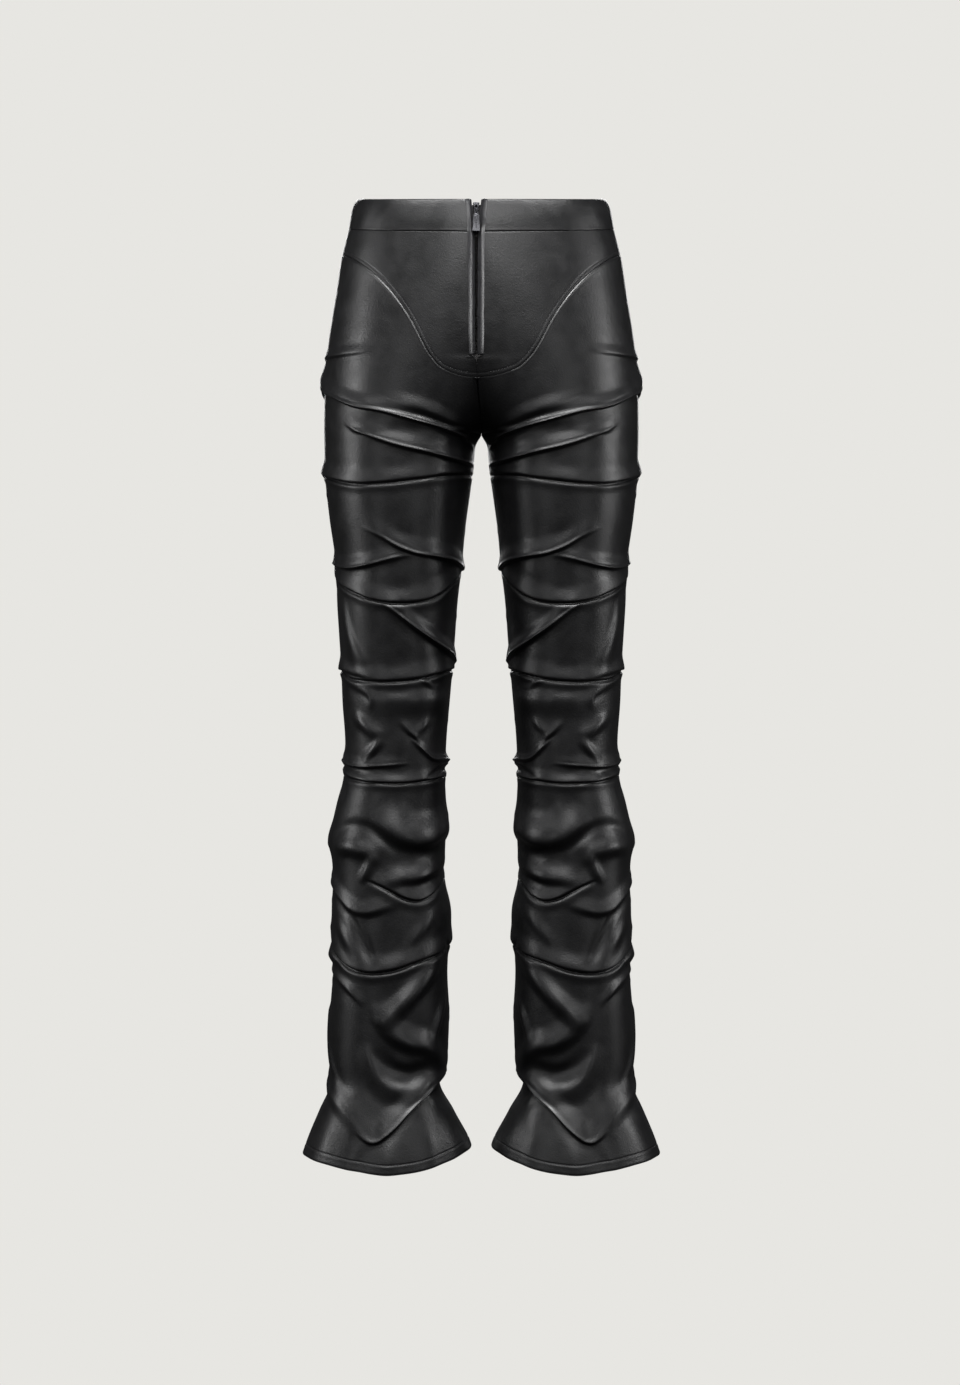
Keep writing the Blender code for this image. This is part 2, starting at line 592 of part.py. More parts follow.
def pull_tab(material):
    """The pull: a slotted loop over the bail's eye, and a tab that widens to its square end."""
    loop, top = PULL_LOOP_HALF_WIDTH, PULL_PIN_RADIUS
    shoulder, end = PULL_SHOULDER_HALF_WIDTH, PULL_END_HALF_WIDTH
    right = arc(loop - 1.2, top - 1.2, 1.2, 90, 0, 4)
    right += [(loop, -PULL_LOOP_LENGTH + 2.5), (shoulder, -PULL_LOOP_LENGTH)]
    right += arc(end - 0.8, -PULL_LENGTH + 0.8, 0.8, 0, -90, 3)
    outline = right + [(-x, z) for x, z in reversed(right)]
    pull = plate("pull_tab", outline, 2 * PULL_PIN_RADIUS, material, 0.35)
    on_the_slope(pull, PULL_PIN_DROP, PULL_PIN_OUT, PULL_TILT)

    slot = PULL_SLOT_HALF_WIDTH
    low = -PULL_LOOP_LENGTH + 1.5 + slot
    hole = [(-slot, -PULL_PIN_RADIUS), (slot, -PULL_PIN_RADIUS)] + arc(0, low, slot, 0, -180, 7)
    cutter = plate("slot_cutter", hole, 4 * PULL_PIN_RADIUS, material, 0)
    on_the_slope(cutter, PULL_PIN_DROP, PULL_PIN_OUT, PULL_TILT)
    hide(cutter)
    cut = pull.modifiers.new("slot", "BOOLEAN")
    cut.operation = "DIFFERENCE"
    cut.solver = "EXACT"
    cut.object = cutter
    return pull


def surface_material(name, color, roughness, metallic):
    material = bpy.data.materials.new(name)
    material.use_nodes = True
    shader = material.node_tree.nodes["Principled BSDF"]
    shader.inputs["Base Color"].default_value = (*color, 1)
    shader.inputs["Roughness"].default_value = roughness
    shader.inputs["Metallic"].default_value = metallic
    return material


def main():
    for obj in list(bpy.data.objects):
        bpy.data.objects.remove(obj, do_unlink=True)
    leather = surface_material("black_leather", (0.012, 0.012, 0.013), 0.38, 0)
    tape = surface_material("black_zip_tape", (0.008, 0.008, 0.008), 0.85, 0)
    metal = surface_material("gunmetal", (0.12, 0.12, 0.125), 0.3, 1)
    for mirrored in (False, True):
        waistband(leather, mirrored)
        yoke(leather, mirrored)
        front_leg(leather, mirrored)
        back_leg(leather, mirrored)
    for side in (-1, 1):
        placket(leather, side)
        zip_tape(tape, side)
    slider(metal)
    pull_tab(metal)


main()
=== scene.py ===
import math
import random

import bmesh
import bpy
import numpy as np
from mathutils import Matrix, Vector


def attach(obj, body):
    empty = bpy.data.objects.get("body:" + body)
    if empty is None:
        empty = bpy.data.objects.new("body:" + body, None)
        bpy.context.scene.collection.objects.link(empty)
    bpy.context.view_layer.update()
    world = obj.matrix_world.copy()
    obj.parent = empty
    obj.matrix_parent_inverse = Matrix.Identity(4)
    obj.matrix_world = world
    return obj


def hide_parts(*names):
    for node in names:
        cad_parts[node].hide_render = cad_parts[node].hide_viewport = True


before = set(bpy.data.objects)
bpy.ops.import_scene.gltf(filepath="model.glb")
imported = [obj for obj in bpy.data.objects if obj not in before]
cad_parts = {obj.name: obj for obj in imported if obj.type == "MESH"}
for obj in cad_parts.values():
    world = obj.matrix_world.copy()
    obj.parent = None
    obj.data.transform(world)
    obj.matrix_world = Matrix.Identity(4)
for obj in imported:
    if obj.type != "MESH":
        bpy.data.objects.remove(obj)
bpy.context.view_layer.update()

# Leather trousers with gathered, flared legs and an exposed front zip, standing filled out.
# Sizes are in millimetres. A "drop" is a distance below the waist. "across" runs from 0 at the side
# seam to 1 at the inner seam, or at the centre seam above the crotch.

mm = 0.001
print("frame loaded,", len(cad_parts), "nodes")


def linear(hexColour):
    values = [int(hexColour[i:i + 2], 16) / 255 for i in (1, 3, 5)]
    return tuple(v / 12.92 if v <= 0.04045 else ((v + 0.055) / 1.055) ** 2.4 for v in values)


def addNode(tree, kind, settings=None, links=None):
    node = tree.nodes.new(kind)
    for name, value in (settings or {}).items():
        if name in node.inputs:
            node.inputs[name].default_value = value
        else:
            setattr(node, name, value)
    for name, output in (links or {}).items():
        tree.links.new(output, node.inputs[name])
    return node


# Camera, lights and floor

studio = {
    "camera": (-0.0015, -5.0, -0.5354),
    "lens": 119.8,
    "paper": "#E7E6E2",
    "floorHeight": -1.4,
    "fill": 0.03,
}
studioLights = (
    # name, place, target, width, height, watts; a lamp off the middle stands on both sides
    ("softbox", (2.05, -0.28, 0.0), (0, 0, -0.2), 0.5, 0.9, 13),
    ("low", (2.05, -0.1, -0.95), (0, 0, -0.8), 0.5, 0.9, 0.9),
    ("overheadFront", (0, -1.2, 2.15), (0, 0, -0.5), 1.4, 0.5, 120),
    ("stripFront", (0, -2.55, 1.0), (0, 0, -0.85), 1.9, 0.45, 27),
    ("upper", (1.2, -1.2, 1.6), (0, 0, -0.8), 0.7, 0.5, 25),
    ("front", (1.9, -2.6, -0.2), (0, 0, -0.35), 0.7, 0.6, 4),
    ("softboxBack", (0, 2.6, 0.4), (0, 0, -0.5), 1.6, 1.2, 40),
)


def buildStudio():
    scene = bpy.context.scene
    scene.view_settings.view_transform = "Standard"
    cameraData = bpy.data.cameras.new("camera")
    cameraData.lens = studio["lens"]
    camera = bpy.data.objects.new("camera", cameraData)
    camera.location = studio["camera"]
    camera.rotation_euler = (math.pi / 2, 0, 0)
    scene.collection.objects.link(camera)
    scene.camera = camera

    for name, (x, *place), target, width, height, watts in studioLights:
        for end, side in (("Left", -1), ("Right", 1)) if x else (("", 1),):
            data = bpy.data.lights.new(name + end, "AREA")
            data.shape = "RECTANGLE"
            data.size = width
            data.size_y = height
            data.energy = watts
            lamp = bpy.data.objects.new(name + end, data)
            lamp.location = (side * x, *place)
            lamp.rotation_euler = (Vector(target) - lamp.location).to_track_quat("-Z", "Y").to_euler()
            scene.collection.objects.link(lamp)

    paper = linear(studio["paper"])
    world = bpy.data.worlds.new("studioPaper")
    world.use_nodes = True
    tree = world.node_tree
    tree.nodes.clear()
    seen = addNode(tree, "ShaderNodeBackground", {"Color": (*paper, 1), "Strength": 1.0})
    fill = addNode(tree, "ShaderNodeBackground", {"Color": (1, 1, 1, 1), "Strength": studio["fill"]})
    path = addNode(tree, "ShaderNodeLightPath")
    mixed = addNode(tree, "ShaderNodeMixShader", links={"Fac": path.outputs["Is Camera Ray"]})
    tree.links.new(fill.outputs[0], mixed.inputs[1])
    tree.links.new(seen.outputs[0], mixed.inputs[2])
    addNode(tree, "ShaderNodeOutputWorld", links={"Surface": mixed.outputs[0]})
    scene.world = world

    bm = bmesh.new()
    bmesh.ops.create_grid(bm, x_segments=1, y_segments=1, size=30)
    bmesh.ops.translate(bm, verts=bm.verts, vec=(0, 0, studio["floorHeight"]))
    mesh = bpy.data.meshes.new("floor")
    bm.to_mesh(mesh)
    bm.free()
    floor = bpy.data.objects.new("floor", mesh)
    scene.collection.objects.link(floor)
    material = bpy.data.materials.new("paperSweep")  # matt studio paper, lit evenly
    material.use_nodes = True
    shader = material.node_tree.nodes["Principled BSDF"]
    shader.inputs["Base Color"].default_value = (0, 0, 0, 1)
    shader.inputs["Roughness"].default_value = 1.0
    shader.inputs["Specular IOR Level"].default_value = 0.0
    shader.inputs["Emission Color"].default_value = (*paper, 1)
    shader.inputs["Emission Strength"].default_value = 1.0
    mesh.materials.append(material)
    floor.visible_glossy = False
    floor.visible_diffuse = False


buildStudio()
print("studio built")


# Materials

def newMaterial(name, settings):
    # a material with its tree, its shader and the place in the object that its patterns read
    material = bpy.data.materials.new(name)
    material.use_nodes = True
    tree = material.node_tree
    shader = tree.nodes["Principled BSDF"]
    for key, value in settings.items():
        shader.inputs[key].default_value = value
    return material, tree, shader, addNode(tree, "ShaderNodeTexCoord").outputs["Object"]


def noiseAt(tree, place, scale, detail):
    return addNode(tree, "ShaderNodeTexNoise", {"Scale": scale, "Detail": detail},
                   {"Vector": place}).outputs["Fac"]


def tint(tree, shader, factor, dark, light):
    # moves the base colour between two shades
    mixed = addNode(tree, "ShaderNodeMix", {"data_type": "RGBA"}, {"Factor": factor})
    mixed.inputs[6].default_value = (*linear(dark), 1)
    mixed.inputs[7].default_value = (*linear(light), 1)
    tree.links.new(mixed.outputs[2], shader.inputs["Base Color"])


def gloss(tree, shader, factor, low, high):
    # moves the roughness between two values
    span = addNode(tree, "ShaderNodeMapRange", {"From Min": 0.3, "From Max": 0.7, "To Min": low,
                   "To Max": high}, {"Value": factor})
    tree.links.new(span.outputs[0], shader.inputs["Roughness"])


def relief(tree, shader, height, depth, under=None, invert=False):
    # raises the surface by a pattern, depth in millimetres, over another relief where one is given
    links = {"Height": height}
    if under:
        links["Normal"] = under
    bump = addNode(tree, "ShaderNodeBump", {"Strength": 1.0, "Distance": depth * mm, "invert": invert}, links)
    tree.links.new(bump.outputs["Normal"], shader.inputs["Normal"])
    return bump.outputs["Normal"]


nappa = {
    "shades": ("#09090A", "#121213"),
    "roughness": (0.33, 0.43),
    "pebble": 1.2,
    "pebbleHeight": 0.09,
    "wrinkle": 3.2,
    "wrinkleHeight": 0.1,
}


def makeNappa():
    # Full-grain nappa, drum dyed and lightly finished: near black, a soft satin gloss over fine pebbles
    material, tree, shader, place = newMaterial("dyedNappaLeather", {"IOR": 1.5, "Metallic": 0.0})
    tint(tree, shader, noiseAt(tree, place, 16.0, 4.0), *nappa["shades"])
    gloss(tree, shader, noiseAt(tree, place, 60.0, 5.0), *nappa["roughness"])
    pebbles = addNode(tree, "ShaderNodeTexVoronoi", {"Scale": 1000 / nappa["pebble"],
                      "feature": "SMOOTH_F1"}, {"Vector": place}).outputs["Distance"]
    wrinkles = noiseAt(tree, place, 1000 / nappa["wrinkle"], 3.0)
    pebbled = relief(tree, shader, pebbles, nappa["pebbleHeight"], invert=True)
    relief(tree, shader, wrinkles, nappa["wrinkleHeight"], under=pebbled)
    return material


def makePaintedSheenFold():
    # The same nappa pulled tight over a cord, its colour painted a shade lighter than the panels' as painted
    # sheen, and glossier
    material, tree, shader, place = newMaterial("nappaFoldPaintedSheen", {"IOR": 1.5, "Metallic": 0.0})
    grainAndPaintedSheen = noiseAt(tree, place, 130.0, 4.0)
    # painted sheen: the strip's colour is lighter than the panels' nappa, standing in for highlights
    tint(tree, shader, grainAndPaintedSheen, "#1C1C1D", "#363638")
    gloss(tree, shader, grainAndPaintedSheen, 0.26, 0.36)
    relief(tree, shader, grainAndPaintedSheen, 0.05)
    return material


def makeSuede():
    # Flesh side of the hide, split and dyed through: matt and short-napped
    material, tree, shader, place = newMaterial("suedeFleshSide", {"IOR": 1.45, "Roughness": 0.9})
    nap = noiseAt(tree, place, 700.0, 4.0)
    tint(tree, shader, nap, "#141313", "#262424")
    relief(tree, shader, nap, 0.08)
    return material


def makeThread():
    # Bonded polyester thread, twisted from three plies: a faint sheen broken by the twist
    material, tree, shader, place = newMaterial("bondedPolyesterThread", {"IOR": 1.52, "Roughness": 0.5})
    tint(tree, shader, noiseAt(tree, place, 2500.0, 2.0), "#101011", "#232325")
    return material


def makeTape():
    # Polyester zip tape, woven in a herringbone: matt, with fine slanting ribs
    material, tree, shader, place = newMaterial("wovenZipTape", {"IOR": 1.5, "Roughness": 0.85})
    ribs = addNode(tree, "ShaderNodeTexWave", {"Scale": 300.0, "Distortion": 0.6,
                   "bands_direction": "DIAGONAL"}, {"Vector": place}).outputs["Fac"]
    tint(tree, shader, ribs, "#0C0C0C", "#1B1B1C")
    relief(tree, shader, ribs, 0.1)
    return material


def makeGunmetal():
    # Zinc alloy, die cast, tumbled and plated gunmetal: dark mirror softened by fine tumbling marks
    material, tree, shader, place = newMaterial("platedZincGunmetal", {"Metallic": 1.0})
    marks = noiseAt(tree, place, 900.0, 3.0)
    tint(tree, shader, marks, "#38383A", "#4A4A4D")
    gloss(tree, shader, marks, 0.24, 0.36)
    return material


def makeShadeDarkTeeth():
    # Zip teeth of brass wire, coloured deep brown-black as painted shade for the shadowed gap between the
    # strips, with a random tone
    material, tree, shader, place = newMaterial("zipTeethPaintedShade", {"Metallic": 1.0, "Roughness": 0.42})
    # painted shade: the teeth are coloured near black for the shadow in the gap between the strips
    tint(tree, shader, noiseAt(tree, place, 1200.0, 3.0), "#101011", "#1E1D1C")
    return material


leather = makeNappa()
paintedSheenFold = makePaintedSheenFold()
suede = makeSuede()
thread = makeThread()
tapeCloth = makeTape()
gunmetal = makeGunmetal()
shadeDarkTeeth = makeShadeDarkTeeth()
print("materials made")


# The plain form under the creases

def smooth(xs, ys, x):
    # a cubic curve through the points (xs, ys), read at x
    xs, ys, x = (np.asarray(values, float) for values in (xs, ys, x))
    steps = np.diff(xs)
    slopes = np.diff(ys) / steps
    tangents = np.empty_like(ys)
    tangents[0], tangents[-1] = slopes[0], slopes[-1]
    tangents[1:-1] = (slopes[:-1] * steps[1:] + slopes[1:] * steps[:-1]) / (steps[:-1] + steps[1:])
    i = np.clip(np.searchsorted(xs, x) - 1, 0, len(steps) - 1)
    t = np.clip((x - xs[i]) / steps[i], 0, 1)
    rise = (3 - 2 * t) * t * t
    bend = tangents[i] * t * (1 - t) ** 2 - tangents[i + 1] * t * t * (1 - t)
    return ys[i] + (ys[i + 1] - ys[i]) * rise + steps[i] * bend


def bumpAt(distance, centre, width):
    # a bell of height 1
    return np.exp(-((distance - centre) / width) ** 2)


def fade(x, start, width):
    # 0 up to start, then rising to 1 over this width; with a width below 0 it rises the other way
    return np.clip((x - start) / width, 0, 1)


# outer, inner and axis are distances from the centre plane, front and back from the plane through
# the waist, and seam is how far behind that plane the side seam and the inseam run
formColumns = ("drop", "outer", "inner", "axis", "front", "back", "seam")
formTable = (
    (-10, 135, 0, 2, 87, 91, 0),
    (0, 137, 0, 2, 88, 92, 0),
    (34, 144, 0, 3, 93, 100, 0),
    (62, 151, 0, 6, 96, 108, 1),
    (100, 157, 0, 16, 98, 117, 2),
    (131, 162, 0, 27, 98, 122, 3),
    (165, 167, 0, 40, 97, 124, 4),
    (192, 169.5, 0, 53, 95, 122, 5),
    (225, 170.5, 0, 70, 92, 117, 5),
    (256, 170.5, 0, 85, 89, 111, 5),
    (266, 170.3, 5.6, 86, 88, 109, 5),
    (280, 170, 7.6, 88, 87, 106, 5),
    (305, 169, 10.4, 90, 85, 102, 5),
    (345, 165, 16, 90, 82, 96, 4),
    (394, 158, 21, 90, 77, 88, 3),
    (445, 156, 26.5, 91, 72, 80, 2),
    (500, 152.5, 30.5, 91, 66, 72, 1),
    (545, 150.5, 34.5, 92, 62, 67, 1),
    (597, 147.5, 38.5, 93, 60, 68, 2),
    (625, 149, 39.5, 94, 58, 72, 4),
    (656, 157, 38.5, 98, 57, 77, 6),
    (694, 164, 39, 101, 57, 80, 8),
    (725, 161.5, 42, 102, 57, 79, 8),
    (771, 162.5, 33, 98, 58, 76, 7),
    (835, 161, 37, 99, 59, 70, 5),
    (890, 164.5, 35, 99, 60, 66, 3),
    (937, 164.5, 39.5, 102, 60, 63, 2),
    (955, 163, 45.5, 104, 60, 62, 2),
    (988, 176, 30, 103, 66, 67, 1),
    (1021, 189.3, 12.5, 101, 73, 75, 1),
    (1040, 196, 7, 101, 77, 79, 1),
    (1070, 206, 0.5, 102, 82, 85, 1),
)
cut = {
    "crotchDrop": 256.0,
    "frontCurveTop": 140.0,
    "backCurveTop": 110.0,
    "curveFullness": 2.3,
    "places": (0.0, 0.25, 0.5, 0.75, 1.0),
    "frontWaist": (1.2, 4.6, 7.3, 8.8, 9.4),
    "backWaist": (1.2, 0.3, -0.8, -2.2, -3.0),
    "frontBandSeam": (33.6, 38.0, 42.0, 44.0, 45.0),
    "backBandSeam": (33.6, 34.0, 33.5, 32.0, 31.0),
    "hemPlaces": (0, .1, .2, .3, .4, .5, .6, .74, .86, 1),
    "frontHem": (1035, 1036.8, 1040.2, 1044.8, 1049.2, 1051.6, 1049.6, 1041.4, 1032.4, 1027),
    "backHem": (1035, 1036.8, 1039.8, 1043.4, 1046.4, 1048, 1046.6, 1040.2, 1032.4, 1027),
    "frontCrotchLine": (180, 196, 217, 245, 256),
    "backCrotchLine": (180, 194, 214, 242, 256),
    "yokeX": (0, 15, 30, 45, 60, 75, 90, 105, 121, 136, 151),
    "yokeDrop": (199, 198, 194, 186, 166, 138, 115, 97, 82, 71, 62),
    "flyX": -5.5,
    "flyOpening": 11.0,
    "flyEnd": 176.0,
    "flyClosing": 4.0,
    "centreDrops": (200, 225, 246),  # below the fly the centre seam comes back to the middle
    "centreX": (-4.5, -2.4, 0),
    "seatWander": 0.8,
    "seatDrops": (150, 252),
    "seamGap": 0.3,
    "sag": 0.3,
}
ringSizes = {"step": 1.0, "points": 385, "fine": 400, "evenedRows": 9, "evenedWidth": 9, "clear": 0.93,
             "clearFade": 0.2}
formDrops = [row[0] for row in formTable]


def formAt(drop):
    return {name: float(smooth(formDrops, [row[i] for row in formTable], drop))
            for i, name in enumerate(formColumns)}


def halfRing(drop, face):
    # evenly spaced points round one quarter of the garment, from the side seam to the inner one
    form = formAt(drop)
    side = -1 if face == "front" else 1
    depth = form[face] - side * form["seam"]
    closed = drop >= cut["crotchDrop"]
    inner = form["inner"] if closed else 0.0
    turn = math.pi / 2
    if not closed:
        top = cut[f"{face}CurveTop"]
        start = formAt(min(drop, top))
        fallen = min(max((drop - top) / (cut["crotchDrop"] - top), 0), 1)
        full = cut["curveFullness"]
        centreDepth = (start[face] - 1 - side * start["seam"]) * (1 - fallen**full) ** (1 / full)
        turn = math.acos(min(centreDepth / depth, 0.9995))
    outwards = np.linspace(0, math.pi / 2, ringSizes["fine"])
    inwards = np.linspace(0, turn, ringSizes["fine"])[1:]
    x = np.concatenate([
        -form["axis"] - (form["outer"] - form["axis"]) * np.cos(outwards),
        -form["axis"] + (form["axis"] - inner) * np.sin(inwards) / math.sin(turn),
    ])
    y = form["seam"] + side * depth * np.concatenate([np.sin(outwards), np.cos(inwards)])
    run = np.concatenate([[0], np.cumsum(np.hypot(np.diff(x), np.diff(y)))])
    wanted = np.linspace(0, run[-1], ringSizes["points"])
    return np.interp(wanted, run, x), np.interp(wanted, run, y)


ringDrops = np.arange(-12, 1072.1, ringSizes["step"])
rings = {face: np.array([halfRing(drop, face) for drop in ringDrops]) for face in ("front", "back")}
for table in rings.values():
    # evens out the step where the one ring turns into two, away from the crotch itself
    near = bumpAt(ringDrops, cut["crotchDrop"], ringSizes["evenedWidth"])[:, None, None]
    near = near * fade(np.linspace(0, 1, table.shape[2]), ringSizes["clear"], -ringSizes["clearFade"])
    reach = ringSizes["evenedRows"]
    padded = np.pad(table, ((reach, reach), (0, 0), (0, 0)), mode="edge")
    evened = sum(padded[k:k + len(table)] for k in range(2 * reach + 1)) / (2 * reach + 1)
    table += (evened - table) * near
ringRuns = {
    face: np.hypot(np.diff(rings[face][:, 0]), np.diff(rings[face][:, 1])).sum(axis=1)
    for face in rings
}
print("form worked out")


def runAt(face, drop):
    # the leather's width at a drop, from the side seam to the inner or centre one
    return np.interp(drop, ringDrops, ringRuns[face])


def formPoint(face, across, drop):
    # a point of the plain form, read between the rings and their points
    table = rings[face]
    row = np.clip((drop - ringDrops[0]) / ringSizes["step"], 0, len(ringDrops) - 1.001)
    column = np.minimum(np.clip(across, 0, 1) * (table.shape[2] - 1), table.shape[2] - 1.001)
    i, j = row.astype(int), column.astype(int)
    s, t = row - i, column - j
    return [
        (table[i, k, j] * (1 - t) + table[i, k, j + 1] * t) * (1 - s)
        + (table[i + 1, k, j] * (1 - t) + table[i + 1, k, j + 1] * t) * s
        for k in (0, 1)
    ]


# The creases

# Each profile says how high a crease stands at distances from its line, counted in its own widths:
# "above" on the near side and "below" on the far side.
profiles = {
    "ridge": ((-1, -0.2, 0, 0.8, 3.6), (0, 0.63, 1, -0.14, 0)),
    "rim": ((-3.2, -0.5, 0, 1.15, 4), (0, 0.6, -0.2, 0.25, 0)),
    "groove": ((-1, 0, 1), (0, -1, 0)),
    "swell": ((-1, 0, 1), (0, 1, 0)),
}

